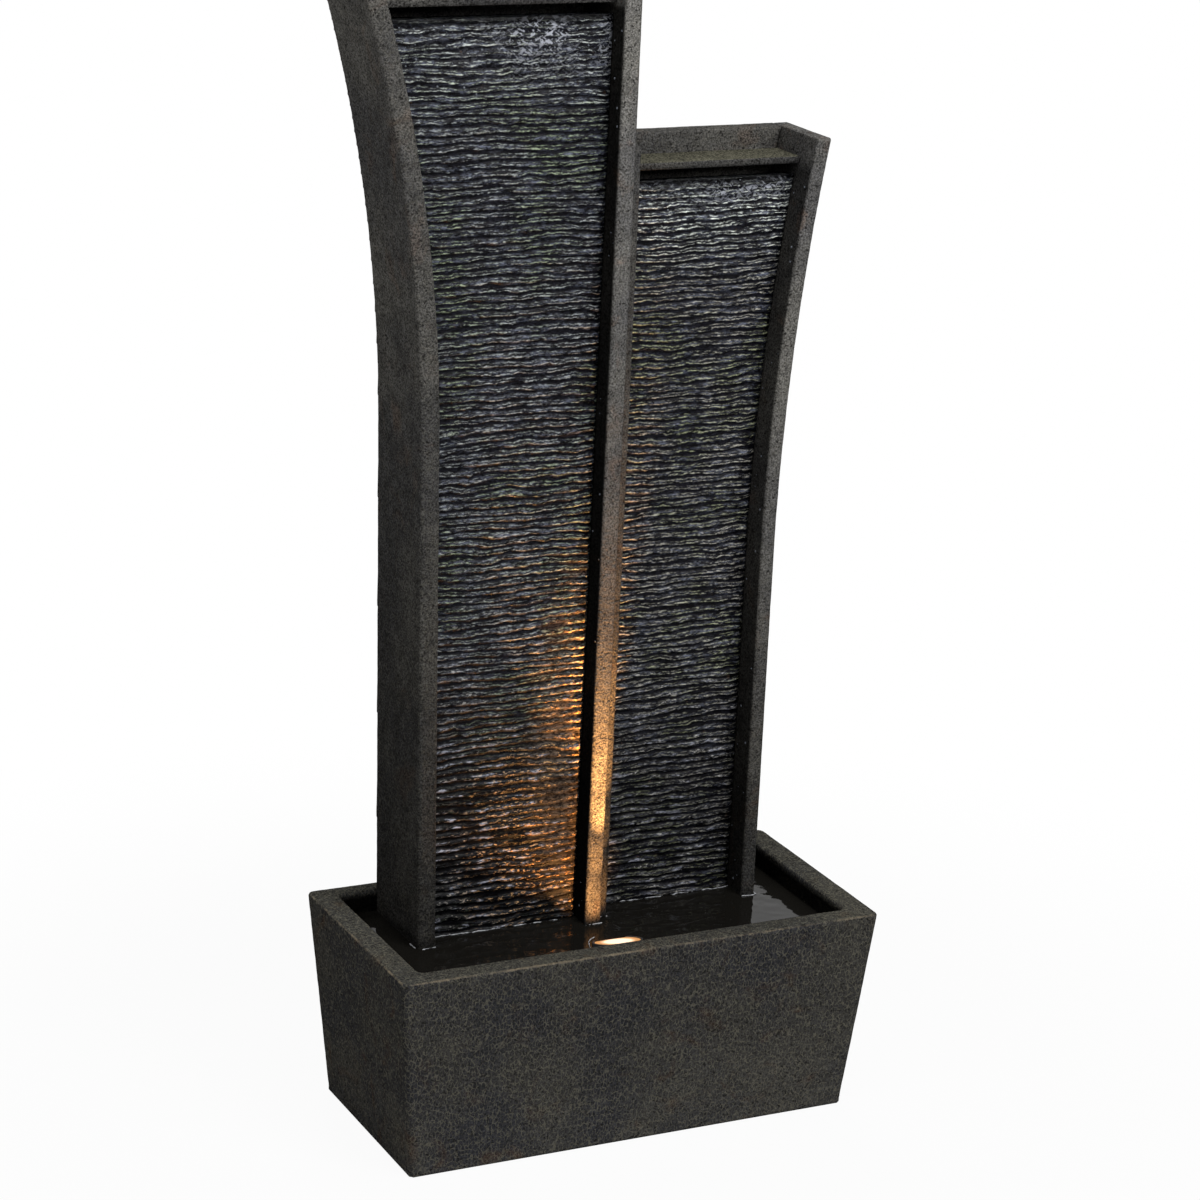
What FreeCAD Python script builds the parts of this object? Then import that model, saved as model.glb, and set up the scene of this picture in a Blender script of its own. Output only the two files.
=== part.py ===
"""Twin tower cascade fountain: a tapered basin, two flared towers, pump, plumbing and lamp.

Millimetres. +Z is up, the cascades face -Y, and the origin is the middle of the basin's underside.
"""
import FreeCAD, Part
import math
import os

# Basin
RIM_LENGTH = 454.0
RIM_DEPTH = 220.0
BASIN_HEIGHT = 186.0
END_TAPER = 18.0
FRONT_TAPER = 15.0
RIM_END = 24.0
RIM_FRONT = 22.0
RIM_BACK = 16.0
FLOOR = 16.0
CORNER_ROUND = 6.0
RIM_ROUND = 3.0

# Towers: walls are measured along their thickness, reaches from the middle plane at the basin floor
TALL_TOP = 995.0
SHORT_TOP = 851.0
TALL_DEPTH = 94.5
SHORT_SETBACK = 13.0
TOWER_GAP = 1.5
TALL_REACH = 164.0
TALL_LEAN = 1.3
TALL_BEND = 618.0
TALL_RADIUS = 1357.0
TALL_WALL = 18.0
SHORT_REACH = 168.0
SHORT_LEAN = 0.0
SHORT_BEND = 480.0
SHORT_RADIUS = 2170.0
SHORT_WALL = 14.0
DIVIDER = 16.0
INNER_WALL = 12.0
BACK_WALL = 18.0
WALL_BEVEL = 2.0
BOND = 0.2

# Cascades and the water troughs behind their top edges
TALL_RECESS = 20.0
SHORT_RECESS = 25.0
TALL_PANEL = 14.0
SHORT_PANEL = 12.0
COURSE = 7.0
COURSE_DEPTH = 2.0
RETURN_GAP = 25.0
TRAY_DEPTH = 18.5
HOOD = 6.5
SPILL_SLOT = 10.0
LIP = 3.0
HEADER_DEPTH = 32.0
HEADER_FLOOR = 8.0

# Tubing
BORE = 4.5
SPIGOT = 6.0
PUSH = 0.05
HOSE_WALL = 1.9
COLLAR = 8.2
SPIGOT_LENGTH = 18.0
RISER_OFFSET = 20.0
RISER_SETBACK = 14.5
TEE_HALF = 12.0
SHORT_RISER_X = 95.0
RISER_BEND = 40.0
PORT_GAP = 1.0
CLIP_WALL = 1.2
CLIP_WIDTH = 8.0
CLIP_EAR = 4.0
CLIP_SETBACK = 1.0
STUB_LENGTH = 20.0
SPRAY_RADIUS = 7.0
SPRAY_WALL = 2.0
SPRAY_HEIGHT = 14.0
SPRAY_END_GAP = 16.0
JET_RADIUS = 1.2
JET_PITCH = 12.0
CAP = 3.0
CAP_PLUG = 6.0
GROMMET_WALL = 3.0
GROMMET_FLANGE = 2.0
GROMMET_LIP = 1.5

# Balance valve on the branch to the short tower
VALVE_RADIUS = 9.0
VALVE_HALF = 10.0
PLUG_RADIUS = 6.5
RUNNING = 0.05
LEVER_LENGTH = 18.0
LEVER_WIDTH = 7.0
LEVER_THICK = 4.0
LEVER_STEM = 3.0

# Pump
PUMP_LENGTH = 44.0
PUMP_WIDTH = 40.0
PUMP_HEIGHT = 46.0
PUMP_ROUND = 3.0
CUP_HEIGHT = 8.0
CUP_RADIUS = 7.0
CUP_STEM = 3.0
CUP_INSET = 9.0
CHAMBER_RADIUS = 15.0
CHAMBER_DEPTH = 14.0
WELL_RADIUS = 7.6
WELL_DEPTH = 26.0
SHAFT_RADIUS = 1.25
SHAFT_SOCKET = 2.0
MAGNET_RADIUS = 7.0
IMPELLER_RADIUS = 12.5
IMPELLER_DISC = 2.0
ROTOR_PLAY = 0.5
BLADES = 6
BLADE_THICK = 1.2
BLADE_ROOT = 3.5
EYE_PLATE = 3.0
EYE_HOLE = 2.5
EYE_CIRCLE = 8.0
EYE_HOLES = 6
STRAINER_DEPTH = 18.0
STRAINER_WALL = 2.0
SEAT_GAP = 0.3
SLOTS = 4
SLOT_WIDTH = 2.0
SLOT_MARGIN = 7.0
DIAL_RADIUS = 14.0
DIAL_THICK = 3.0
DIAL_STEM = 4.0
DIAL_RETAINER = 5.5
DIAL_RIB = 4.0
WINDOW_RADIUS = 3.0
WINDOW_CIRCLE = 10.0
WINDOWS = 4
GLAND_RADIUS = 5.0
GLAND_LENGTH = 8.0

# Lamp at the water line
LAMP_X = 0.0
LAMP_REACH = 52.5
LAMP_TILT = 15.0
LENS_TOP = 169.5
LENS_RADIUS = 20.5
LENS_THICK = 4.0
LENS_DOME = 1.0
GASKET = 1.0
GASKET_WIDTH = 3.0
BEZEL_WALL = 1.5
BEZEL_LIP = 1.5
BEZEL_SKIRT = 8.0
CUP_WALL = 2.0
CUP_DEPTH = 24.0
CUP_FLANGE = 3.0
BOARD_THICK = 1.6
BOARD_DROP = 8.0
DIODE = 3.5
DIODE_HEIGHT = 1.2
DIODE_CIRCLE = 9.0
DIODES = 6
PIVOT_DROP = 17.0
PIVOT_RADIUS = 2.0
PIVOT_BOSS = 4.0
PIVOT_HEAD = 4.5
STRAP = 1.5
STRAP_WIDTH = 16.0
EAR_WIDTH = 12.0
EAR_GAP = 0.5
CRADLE_DROP = 31.0
STRAP_LEG = 30.0
SCREW_RADIUS = 2.0
SCREW_HEAD = 3.6
SCREW_HEAD_HEIGHT = 2.4
SCREW_DEPTH = 10.0
SCREW_SPACING = 14.0

# Service hatch in the tall tower's back
HATCH_WIDTH = 90.0
HATCH_HEIGHT = 96.0
HATCH_RISE = 40.0
HATCH_X = -80.0
HATCH_GAP = 0.3
FRAME_WALL = 4.0
FRAME_FLANGE = 8.0
FRAME_FACE = 3.0
FRAME_LIP = 3.0
DOOR_GAP = 0.6
DOOR_THICK = 4.0
KNUCKLE = 3.0
KNUCKLE_LENGTH = 20.0
KNUCKLE_GAP = 0.3
LEAF = 1.5
LEAF_WIDTH = 13.0
FRAME_LEAF_WIDTH = 7.0
HINGE_PIN = 1.25
HINGE_PIN_HEAD = 2.2
PULL_RADIUS = 7.0
PULL_STEM = 4.0
PULL_HEIGHT = 11.0
PULL_INSET = 14.0
MAGNET_WIDTH = 5.0
MAGNET_HEIGHT = 14.0
MAGNET_DEPTH = 6.0
STRIKER = 1.0

# Cord grommet under the hatch and drain stopper in the basin floor
CORD_RISE = 16.0
CORD_HOLE = 4.0
CORD_BUSH = 7.0
CORD_FLANGE = 10.0
CORD_FLANGE_THICK = 2.0
DRAIN_FROM_END = 75.0
DRAIN_FROM_FRONT = 70.0
DRAIN_RADIUS = 9.0
DRAIN_HEAD = 13.0
DRAIN_HEAD_THICK = 5.0
DRAIN_RECESS = 2.0
RING_RADIUS = 6.0
RING_WIRE = 1.4

# Worked out from the sizes above
RIM_HALF = RIM_LENGTH / 2
DEPTH_HALF = RIM_DEPTH / 2
INNER_BACK_RIM = DEPTH_HALF - RIM_BACK
INNER_BACK_FLOOR = INNER_BACK_RIM - FRONT_TAPER * (1 - FLOOR / BASIN_HEIGHT)
TOWER_BACK = INNER_BACK_RIM - TOWER_GAP
TALL_FRONT = TOWER_BACK - TALL_DEPTH
BACK_INNER = TOWER_BACK - BACK_WALL
SHORT_FRONT = TALL_FRONT + SHORT_SETBACK
TALL_FACE = TALL_FRONT + TALL_RECESS
SHORT_FACE = SHORT_FRONT + SHORT_RECESS
DIVIDER_LEFT = -DIVIDER / 2
DIVIDER_RIGHT = DIVIDER / 2
SHORT_LEFT = DIVIDER_RIGHT + INNER_WALL
RISER_X = HATCH_X - RISER_OFFSET
RISER_Y = BACK_INNER - RISER_SETBACK
HOSE_BORE = SPIGOT + PUSH
HOSE = HOSE_BORE + HOSE_WALL
PANEL_FOOT = FLOOR + RETURN_GAP
PUMP_FOOT = FLOOR + CUP_HEIGHT
PUMP_TOP = PUMP_FOOT + PUMP_HEIGHT
PUMP_AXIS = PUMP_FOOT + PUMP_HEIGHT / 2
PUMP_LEFT = RISER_X - CHAMBER_DEPTH / 2
PUMP_RIGHT = PUMP_LEFT + PUMP_LENGTH
HATCH_FOOT = BASIN_HEIGHT + HATCH_RISE
TEE_Z = HATCH_FOOT + HATCH_HEIGHT / 2
LAMP_Y = TALL_FRONT - LAMP_REACH
DRAIN_X = RIM_HALF - DRAIN_FROM_END
DRAIN_Y = DRAIN_FROM_FRONT - DEPTH_HALF

# Depth to which joined solids run into each other, and the slack when edges are picked by place
EPS = 1.0

V = FreeCAD.Vector
AXIS_X = V(1, 0, 0)
AXIS_Y = V(0, 1, 0)
AXIS_Z = V(0, 0, 1)


def block(low, high):
    size = V(*high) - V(*low)
    return Part.makeBox(size.x, size.y, size.z, V(*low))


def rod(start, axis, radius, length):
    return Part.makeCylinder(radius, length, V(*start), axis)


def ring(start, axis, outer, inner, length):
    return rod(start, axis, outer, length).cut(rod(start, axis, inner, length))


def fused(shapes):
    return shapes[0].multiFuse(shapes[1:]).removeSplitter()


def round_edges(shape, radius, wanted):
    return shape.makeFillet(radius, [edge for edge in shape.Edges if wanted(edge)])


def spans_height(edge):
    low, high = edge.BoundBox.ZMin, edge.BoundBox.ZMax
    return high - low > BASIN_HEIGHT / 2


def tapered_block(low, high, foot, top):
    """Flat-sided block between two level rectangles, each given as (x0, y0, x1, y1)."""
    loops = []
    for (x0, y0, x1, y1), z in ((foot, low), (top, high)):
        loops.append([V(x0, y0, z), V(x1, y0, z), V(x1, y1, z), V(x0, y1, z)])
    lower, upper = loops
    outlines = [lower[::-1], upper]
    for index in range(4):
        after = (index + 1) % 4
        outlines.append([lower[index], lower[after], upper[after], upper[index]])
    faces = [Part.Face(Part.makePolygon(outline + outline[:1])) for outline in outlines]
    return Part.Solid(Part.Shell(faces))


def basin_section(z, end, front, back):
    """Rectangle of the basin at height z, drawn in by wall widths at the ends, front and back."""
    share = 1 - z / BASIN_HEIGHT
    x = RIM_HALF - END_TAPER * share - end
    y = DEPTH_HALF - FRONT_TAPER * share
    return (-x, front - y, x, y - back)


def make_basin():
    foot = basin_section(0, 0, 0, 0)
    top = basin_section(BASIN_HEIGHT, 0, 0, 0)
    shell = round_edges(tapered_block(0, BASIN_HEIGHT, foot, top), CORNER_ROUND, spans_height)
    walls = (RIM_END, RIM_FRONT, RIM_BACK)
    hollow_foot = basin_section(FLOOR, *walls)
    hollow_top = basin_section(BASIN_HEIGHT, *walls)
    hollow = round_edges(tapered_block(FLOOR, BASIN_HEIGHT, hollow_foot, hollow_top), CORNER_ROUND, spans_height)
    shell = shell.cut(hollow)
    shell = round_edges(shell, RIM_ROUND, lambda edge: edge.BoundBox.ZMin > BASIN_HEIGHT - EPS)
    return shell.cut(rod((DRAIN_X, DRAIN_Y, 0), AXIS_Z, DRAIN_RADIUS, FLOOR))


class FlaredWall:
    """Side wall that leaves the basin nearly straight and sweeps outwards in one arc."""

    def __init__(self, side, reach, lean, bend, radius, thickness, top):
        self.side = side
        self.thickness = thickness
        self.top = top
        self.angle = math.radians(lean)
        self.radius = radius
        bend_reach = reach + (bend - FLOOR) * math.tan(self.angle)
        self.centre = bend_reach + radius * math.cos(self.angle)
        self.level = bend - radius * math.sin(self.angle)

    def reach_at(self, z, inset):
        """Distance from the middle plane to the face that lies inset inside the outer one."""
        radius = self.radius + inset
        bend_z = self.level + radius * math.sin(self.angle)
        if z > bend_z:
            return self.centre - math.sqrt(radius ** 2 - (z - self.level) ** 2)
        bend_reach = self.centre - radius * math.cos(self.angle)
        return bend_reach - (bend_z - z) * math.tan(self.angle)

    def face_edges(self, inset, y):
        """Straight foot and arc of one face, in the plane at y."""
        bend_z = self.level + (self.radius + inset) * math.sin(self.angle)
        heights = (FLOOR, bend_z, (bend_z + self.top) / 2, self.top)
        foot, bend, middle, top = [V(self.side * self.reach_at(z, inset), y, z) for z in heights]
        return [Part.LineSegment(foot, bend).toShape(), Part.Arc(bend, middle, top).toShape()], foot, top

    def plate(self, front, back):
        outer, outer_foot, outer_top = self.face_edges(0, front)
        inner, inner_foot, inner_top = self.face_edges(self.thickness, front)
        ends = [Part.makeLine(outer_foot, inner_foot), Part.makeLine(outer_top, inner_top)]
        return extruded(outer + inner + ends, back - front)

    def core(self, other_x, front, back, low, high):
        """Solid that fills the tower from this wall to the plane at other_x, less the bond lines."""
        edges, foot, top = self.face_edges(self.thickness + BOND, front)
        far = other_x - math.copysign(BOND, other_x - foot.x)
        far_foot = V(far, front, foot.z)
        far_top = V(far, front, top.z)
        edges += [Part.makeLine(foot, far_foot), Part.makeLine(far_foot, far_top), Part.makeLine(far_top, top)]
        filling = extruded(edges, back - front)
        wide = 2 * RIM_LENGTH
        return filling.common(block((-wide, front, low), (wide, back, high)))


def extruded(edges, depth):
    wire = Part.Wire(Part.__sortEdges__(edges))
    return Part.Face(wire).extrude(V(0, depth, 0))


TALL_SIDE = FlaredWall(-1, TALL_REACH, TALL_LEAN, TALL_BEND, TALL_RADIUS, TALL_WALL, TALL_TOP)
SHORT_SIDE = FlaredWall(1, SHORT_REACH, SHORT_LEAN, SHORT_BEND, SHORT_RADIUS, SHORT_WALL, SHORT_TOP)


def nested(shape, front, top):
    """Trims a wall's back edge so that its foot follows the sloping back of the basin."""
    back_floor = INNER_BACK_FLOOR - TOWER_GAP
    outline = [(front, FLOOR), (back_floor, FLOOR), (TOWER_BACK, BASIN_HEIGHT), (TOWER_BACK, top), (front, top)]
    corners = [V(-RIM_LENGTH, y, z) for y, z in outline]
    corners.append(corners[0])
    side = Part.Face(Part.makePolygon(corners)).extrude(V(2 * RIM_LENGTH, 0, 0))
    return shape.common(side)


def soften(wall, front):
    """Bevels the long edges of a wall's front."""

    def is_front(edge):
        box = edge.BoundBox
        return box.YMax < front + EPS and box.ZLength > BASIN_HEIGHT

    wall = wall.removeSplitter()
    return wall.makeChamfer(WALL_BEVEL, [edge for edge in wall.Edges if is_front(edge)])


def make_straight_wall(left, right, front, top):
    wall = nested(block((left, front, FLOOR), (right, TOWER_BACK, top)), front, top)
    port = rod((left, RISER_Y, TEE_Z), AXIS_X, HOSE + PORT_GAP, right - left)
    return soften(wall.cut(port), front)


def make_divider():
    wall = make_straight_wall(DIVIDER_LEFT, DIVIDER_RIGHT, TALL_FRONT, TALL_TOP)
    holes = [rod((0, TALL_FRONT, z), AXIS_Y, SCREW_RADIUS + PUSH, SCREW_DEPTH) for z in strap_screw_heights()]
    return wall.cut(holes)


def make_flared_wall(side, front):
    return soften(nested(side.plate(front, TOWER_BACK), front, side.top), front)


def make_cascade(side, other_x, face, thickness):
    """Panel whose face is laid in shallow level courses, each leaning out towards its foot."""
    top = weir_height(side)
    count = int((top - PANEL_FOOT) // COURSE)
    outline = [(face + thickness, PANEL_FOOT)]
    for course in range(count):
        foot = PANEL_FOOT + course * COURSE
        outline += [(face + COURSE_DEPTH, foot), (face, foot + COURSE / 3)]
    outline += [(face + COURSE_DEPTH, top), (face + thickness, top)]
    corners = [V(-RIM_LENGTH, y, z) for y, z in outline]
    corners.append(corners[0])
    courses = Part.Face(Part.makePolygon(corners)).extrude(V(2 * RIM_LENGTH, 0, 0))
    return courses.common(side.core(other_x, face, face + thickness, PANEL_FOOT, top))


def hood_foot(side):
    return side.top - TRAY_DEPTH - HOOD


def weir_height(side):
    return hood_foot(side) - SPILL_SLOT


def header_top(side):
    return weir_height(side) - HEADER_DEPTH


def make_hood(side, other_x, face):
    foot = hood_foot(side)
    return side.core(other_x, face - LIP, BACK_INNER - BOND, foot, foot + HOOD)


def make_header_floor(side, other_x, face, thickness, riser_x):
    top = header_top(side)
    plate = side.core(other_x, face + thickness + BOND, BACK_INNER - BOND, top - HEADER_FLOOR, top)
    return plate.cut(rod((riser_x, RISER_Y, top - HEADER_FLOOR), AXIS_Z, SPIGOT + PUSH + GROMMET_WALL, HEADER_FLOOR))


def make_back(side, other_x):
    return side.core(other_x, BACK_INNER, TOWER_BACK, BASIN_HEIGHT, side.top)


def make_tall_back():
    panel = make_back(TALL_SIDE, DIVIDER_LEFT)
    half = HATCH_WIDTH / 2
    opening = block((HATCH_X - half, BACK_INNER, HATCH_FOOT), (HATCH_X + half, TOWER_BACK, HATCH_FOOT + HATCH_HEIGHT))
    cord = rod((HATCH_X, BACK_INNER, BASIN_HEIGHT + CORD_RISE), AXIS_Y, CORD_BUSH, BACK_WALL)
    return panel.cut([opening, cord])


def make_cord_grommet():
    z = BASIN_HEIGHT + CORD_RISE
    bush = rod((HATCH_X, BACK_INNER, z), AXIS_Y, CORD_BUSH, BACK_WALL)
    flange = rod((HATCH_X, TOWER_BACK, z), AXIS_Y, CORD_FLANGE, CORD_FLANGE_THICK)
    hole = rod((HATCH_X, BACK_INNER, z), AXIS_Y, CORD_HOLE, BACK_WALL + CORD_FLANGE_THICK)
    return fused([bush, flange]).cut(hole)


def make_drain_stopper():
    top = FLOOR + SEAT_GAP + DRAIN_HEAD_THICK
    shank_length = top - DRAIN_HEAD_THICK / 2 - DRAIN_RECESS
    shank = rod((DRAIN_X, DRAIN_Y, DRAIN_RECESS), AXIS_Z, DRAIN_RADIUS - RUNNING, shank_length)
    head = rod((DRAIN_X, DRAIN_Y, FLOOR + SEAT_GAP), AXIS_Z, DRAIN_HEAD, DRAIN_HEAD_THICK)
    head = round_edges(head, RING_WIRE, lambda edge: edge.BoundBox.ZMin > top - DRAIN_HEAD_THICK / 2)
    pull = Part.makeTorus(RING_RADIUS, RING_WIRE, V(DRAIN_X, DRAIN_Y, top + RING_RADIUS), AXIS_Y)
    return fused([shank, head, pull])


# Pump

def make_pump_housing():
    half = PUMP_WIDTH / 2
    body = block((PUMP_LEFT, RISER_Y - half, PUMP_FOOT), (PUMP_RIGHT, RISER_Y + half, PUMP_TOP))
    body = round_edges(body, PUMP_ROUND, lambda edge: edge.BoundBox.XLength > PUMP_LENGTH - EPS)
    nipple = rod((RISER_X, RISER_Y, PUMP_TOP - EPS), AXIS_Z, SPIGOT, SPIGOT_LENGTH + EPS)
    well_start = PUMP_LEFT + CHAMBER_DEPTH
    hollows = [
        rod((PUMP_LEFT, RISER_Y, PUMP_AXIS), AXIS_X, CHAMBER_RADIUS, CHAMBER_DEPTH),
        rod((well_start, RISER_Y, PUMP_AXIS), AXIS_X, WELL_RADIUS, WELL_DEPTH),
        rod((well_start + WELL_DEPTH, RISER_Y, PUMP_AXIS), AXIS_X, SHAFT_RADIUS, SHAFT_SOCKET),
        rod((RISER_X, RISER_Y, PUMP_AXIS), AXIS_Z, BORE, PUMP_HEIGHT + SPIGOT_LENGTH),
    ]
    return fused([body, nipple]).cut(hollows)


def around_pump_axis(x, radius, length, circle, count):
    """Rods along the pump's axis, evenly spaced on a circle and clear of its upright diameter."""
    rods = []
    for index in range(count):
        turn = 2 * math.pi * (index + 0.5) / count
        y = RISER_Y + circle * math.cos(turn)
        z = PUMP_AXIS + circle * math.sin(turn)
        rods.append(rod((x, y, z), AXIS_X, radius, length))
    return rods


def make_chamber_cover():
    half = PUMP_WIDTH / 2 - STRAINER_WALL - SEAT_GAP
    rise = PUMP_HEIGHT / 2 - STRAINER_WALL - SEAT_GAP
    left = PUMP_LEFT - EYE_PLATE
    plate = block((left, RISER_Y - half, PUMP_AXIS - rise), (PUMP_LEFT, RISER_Y + half, PUMP_AXIS + rise))
    socket = rod((PUMP_LEFT - SHAFT_SOCKET, RISER_Y, PUMP_AXIS), AXIS_X, SHAFT_RADIUS, SHAFT_SOCKET)
    return plate.cut(around_pump_axis(left, EYE_HOLE, EYE_PLATE, EYE_CIRCLE, EYE_HOLES) + [socket])


def make_shaft():
    length = SHAFT_SOCKET + CHAMBER_DEPTH + WELL_DEPTH + SHAFT_SOCKET
    return rod((PUMP_LEFT - SHAFT_SOCKET, RISER_Y, PUMP_AXIS), AXIS_X, SHAFT_RADIUS, length)


def make_rotor():
    well_start = PUMP_LEFT + CHAMBER_DEPTH
    disc_x = well_start - ROTOR_PLAY - IMPELLER_DISC
    blade_x = PUMP_LEFT + ROTOR_PLAY
    magnet_end = well_start + WELL_DEPTH - ROTOR_PLAY
    pieces = [
        rod((disc_x, RISER_Y, PUMP_AXIS), AXIS_X, MAGNET_RADIUS, magnet_end - disc_x),
        rod((disc_x, RISER_Y, PUMP_AXIS), AXIS_X, IMPELLER_RADIUS, IMPELLER_DISC),
        rod((blade_x, RISER_Y, PUMP_AXIS), AXIS_X, BLADE_ROOT, disc_x - blade_x),
    ]
    for index in range(BLADES):
        low = (blade_x, RISER_Y - BLADE_THICK / 2, PUMP_AXIS)
        high = (disc_x, RISER_Y + BLADE_THICK / 2, PUMP_AXIS + IMPELLER_RADIUS - ROTOR_PLAY)
        blade = block(low, high)
        blade.rotate(V(blade_x, RISER_Y, PUMP_AXIS), AXIS_X, 360 * index / BLADES)
        pieces.append(blade)
    bore = rod((blade_x, RISER_Y, PUMP_AXIS), AXIS_X, SHAFT_RADIUS + RUNNING, magnet_end - blade_x)
    return fused(pieces).cut(bore)


def make_strainer():
    half = PUMP_WIDTH / 2
    left = PUMP_LEFT - STRAINER_DEPTH
    mouth = PUMP_LEFT - SEAT_GAP
    shell = block((left, RISER_Y - half, PUMP_FOOT), (mouth, RISER_Y + half, PUMP_TOP))
    shell = round_edges(shell, PUMP_ROUND, lambda edge: edge.BoundBox.XLength > STRAINER_DEPTH / 2)
    inside = half - STRAINER_WALL
    hollow_low = (left + STRAINER_WALL, RISER_Y - inside, PUMP_FOOT + STRAINER_WALL)
    hollow = block(hollow_low, (mouth, RISER_Y + inside, PUMP_TOP - STRAINER_WALL))
    cuts = [hollow, rod((left, RISER_Y, PUMP_AXIS), AXIS_X, DIAL_STEM, STRAINER_WALL)]
    cuts += around_pump_axis(left, WINDOW_RADIUS, STRAINER_WALL, WINDOW_CIRCLE, WINDOWS)
    spacing = (STRAINER_DEPTH - SEAT_GAP) / (SLOTS + 1)
    for index in range(SLOTS):
        x = left + spacing * (index + 1) - SLOT_WIDTH / 2
        low = (x, RISER_Y - half, PUMP_FOOT + SLOT_MARGIN)
        cuts.append(block(low, (x + SLOT_WIDTH, RISER_Y + half, PUMP_TOP - SLOT_MARGIN)))
    return shell.cut(cuts)


def make_flow_dial():
    left = PUMP_LEFT - STRAINER_DEPTH
    face = left - SEAT_GAP - DIAL_THICK
    retainer = left + STRAINER_WALL + SEAT_GAP
    stem = retainer + STRAINER_WALL - face
    rib_low = (face - DIAL_RIB, RISER_Y - DIAL_THICK / 2, PUMP_AXIS - DIAL_RADIUS + EPS)
    pieces = [
        rod((face, RISER_Y, PUMP_AXIS), AXIS_X, DIAL_RADIUS, DIAL_THICK),
        rod((face, RISER_Y, PUMP_AXIS), AXIS_X, DIAL_STEM - RUNNING, stem),
        rod((retainer, RISER_Y, PUMP_AXIS), AXIS_X, DIAL_RETAINER, STRAINER_WALL),
        block(rib_low, (face, RISER_Y + DIAL_THICK / 2, PUMP_AXIS + DIAL_RADIUS - EPS)),
    ]
    return fused(pieces).cut(around_pump_axis(face, WINDOW_RADIUS, DIAL_THICK, WINDOW_CIRCLE, WINDOWS))


def make_pump_feet():
    cups = []
    for x in (PUMP_LEFT + CUP_INSET, PUMP_RIGHT - CUP_INSET):
        for side in (-1, 1):
            y = RISER_Y + side * (PUMP_WIDTH / 2 - CUP_INSET)
            cups.append(Part.makeCone(CUP_RADIUS, CUP_STEM, CUP_HEIGHT, V(x, y, FLOOR)))
    return Part.makeCompound(cups)


def make_pump_gland():
    gland = Part.makeCone(GLAND_RADIUS, GLAND_RADIUS / 2, GLAND_LENGTH, V(PUMP_RIGHT, RISER_Y, PUMP_AXIS), AXIS_X)
    return gland.cut(rod((PUMP_RIGHT, RISER_Y, PUMP_AXIS), AXIS_X, GLAND_RADIUS / 3, GLAND_LENGTH))


# Plumbing

def make_supply_hose():
    return ring((RISER_X, RISER_Y, PUMP_TOP), AXIS_Z, HOSE, HOSE_BORE, TEE_Z - TEE_HALF - PUMP_TOP)


def make_tee():
    reach = TEE_HALF + SPIGOT_LENGTH
    pieces = [
        rod((RISER_X, RISER_Y, TEE_Z - reach), AXIS_Z, SPIGOT, 2 * reach),
        rod((RISER_X, RISER_Y, TEE_Z - TEE_HALF), AXIS_Z, COLLAR, 2 * TEE_HALF),
        rod((RISER_X, RISER_Y, TEE_Z), AXIS_X, COLLAR, TEE_HALF),
        rod((RISER_X, RISER_Y, TEE_Z), AXIS_X, SPIGOT, reach),
    ]
    bores = [
        rod((RISER_X, RISER_Y, TEE_Z - reach), AXIS_Z, BORE, 2 * reach),
        rod((RISER_X, RISER_Y, TEE_Z), AXIS_X, BORE, reach),
    ]
    return fused(pieces).cut(bores)


def riser_top(side):
    return header_top(side) - HEADER_FLOOR - GROMMET_FLANGE


def make_tall_riser():
    start = TEE_Z + TEE_HALF
    return ring((RISER_X, RISER_Y, start), AXIS_Z, HOSE, HOSE_BORE, riser_top(TALL_SIDE) - start)


VALVE_LEFT = RISER_X + TEE_HALF
VALVE_X = VALVE_LEFT + SPIGOT_LENGTH + VALVE_HALF
VALVE_RIGHT = VALVE_X + VALVE_HALF


def make_valve_body():
    centre = (VALVE_X, RISER_Y - VALVE_RADIUS, TEE_Z)
    pieces = [
        rod((VALVE_LEFT, RISER_Y, TEE_Z), AXIS_X, VALVE_RADIUS, VALVE_RIGHT - VALVE_LEFT),
        rod((VALVE_RIGHT, RISER_Y, TEE_Z), AXIS_X, SPIGOT, SPIGOT_LENGTH),
        rod(centre, AXIS_Y, VALVE_RADIUS, 2 * VALVE_RADIUS),
    ]
    cuts = [
        rod((VALVE_LEFT, RISER_Y, TEE_Z), AXIS_X, HOSE_BORE, SPIGOT_LENGTH),
        rod((VALVE_LEFT, RISER_Y, TEE_Z), AXIS_X, BORE, VALVE_RIGHT - VALVE_LEFT + SPIGOT_LENGTH),
        rod((VALVE_X, RISER_Y - PLUG_RADIUS, TEE_Z), AXIS_Y, PLUG_RADIUS + RUNNING, VALVE_RADIUS + PLUG_RADIUS),
    ]
    return fused(pieces).cut(cuts)


def make_valve_plug():
    back = RISER_Y + VALVE_RADIUS
    front = RISER_Y - PLUG_RADIUS + SEAT_GAP
    lever_y = back + LEVER_STEM
    lever_low = (VALVE_X - LEVER_LENGTH / 2, lever_y, TEE_Z - LEVER_WIDTH / 2)
    lever_high = (VALVE_X + LEVER_LENGTH / 2, lever_y + LEVER_THICK, TEE_Z + LEVER_WIDTH / 2)
    pieces = [
        rod((VALVE_X, front, TEE_Z), AXIS_Y, PLUG_RADIUS, back - front),
        rod((VALVE_X, back, TEE_Z), AXIS_Y, LEVER_STEM, LEVER_STEM),
        block(lever_low, lever_high),
    ]
    return fused(pieces).cut(rod((VALVE_X - PLUG_RADIUS, RISER_Y, TEE_Z), AXIS_X, BORE, 2 * PLUG_RADIUS))


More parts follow.
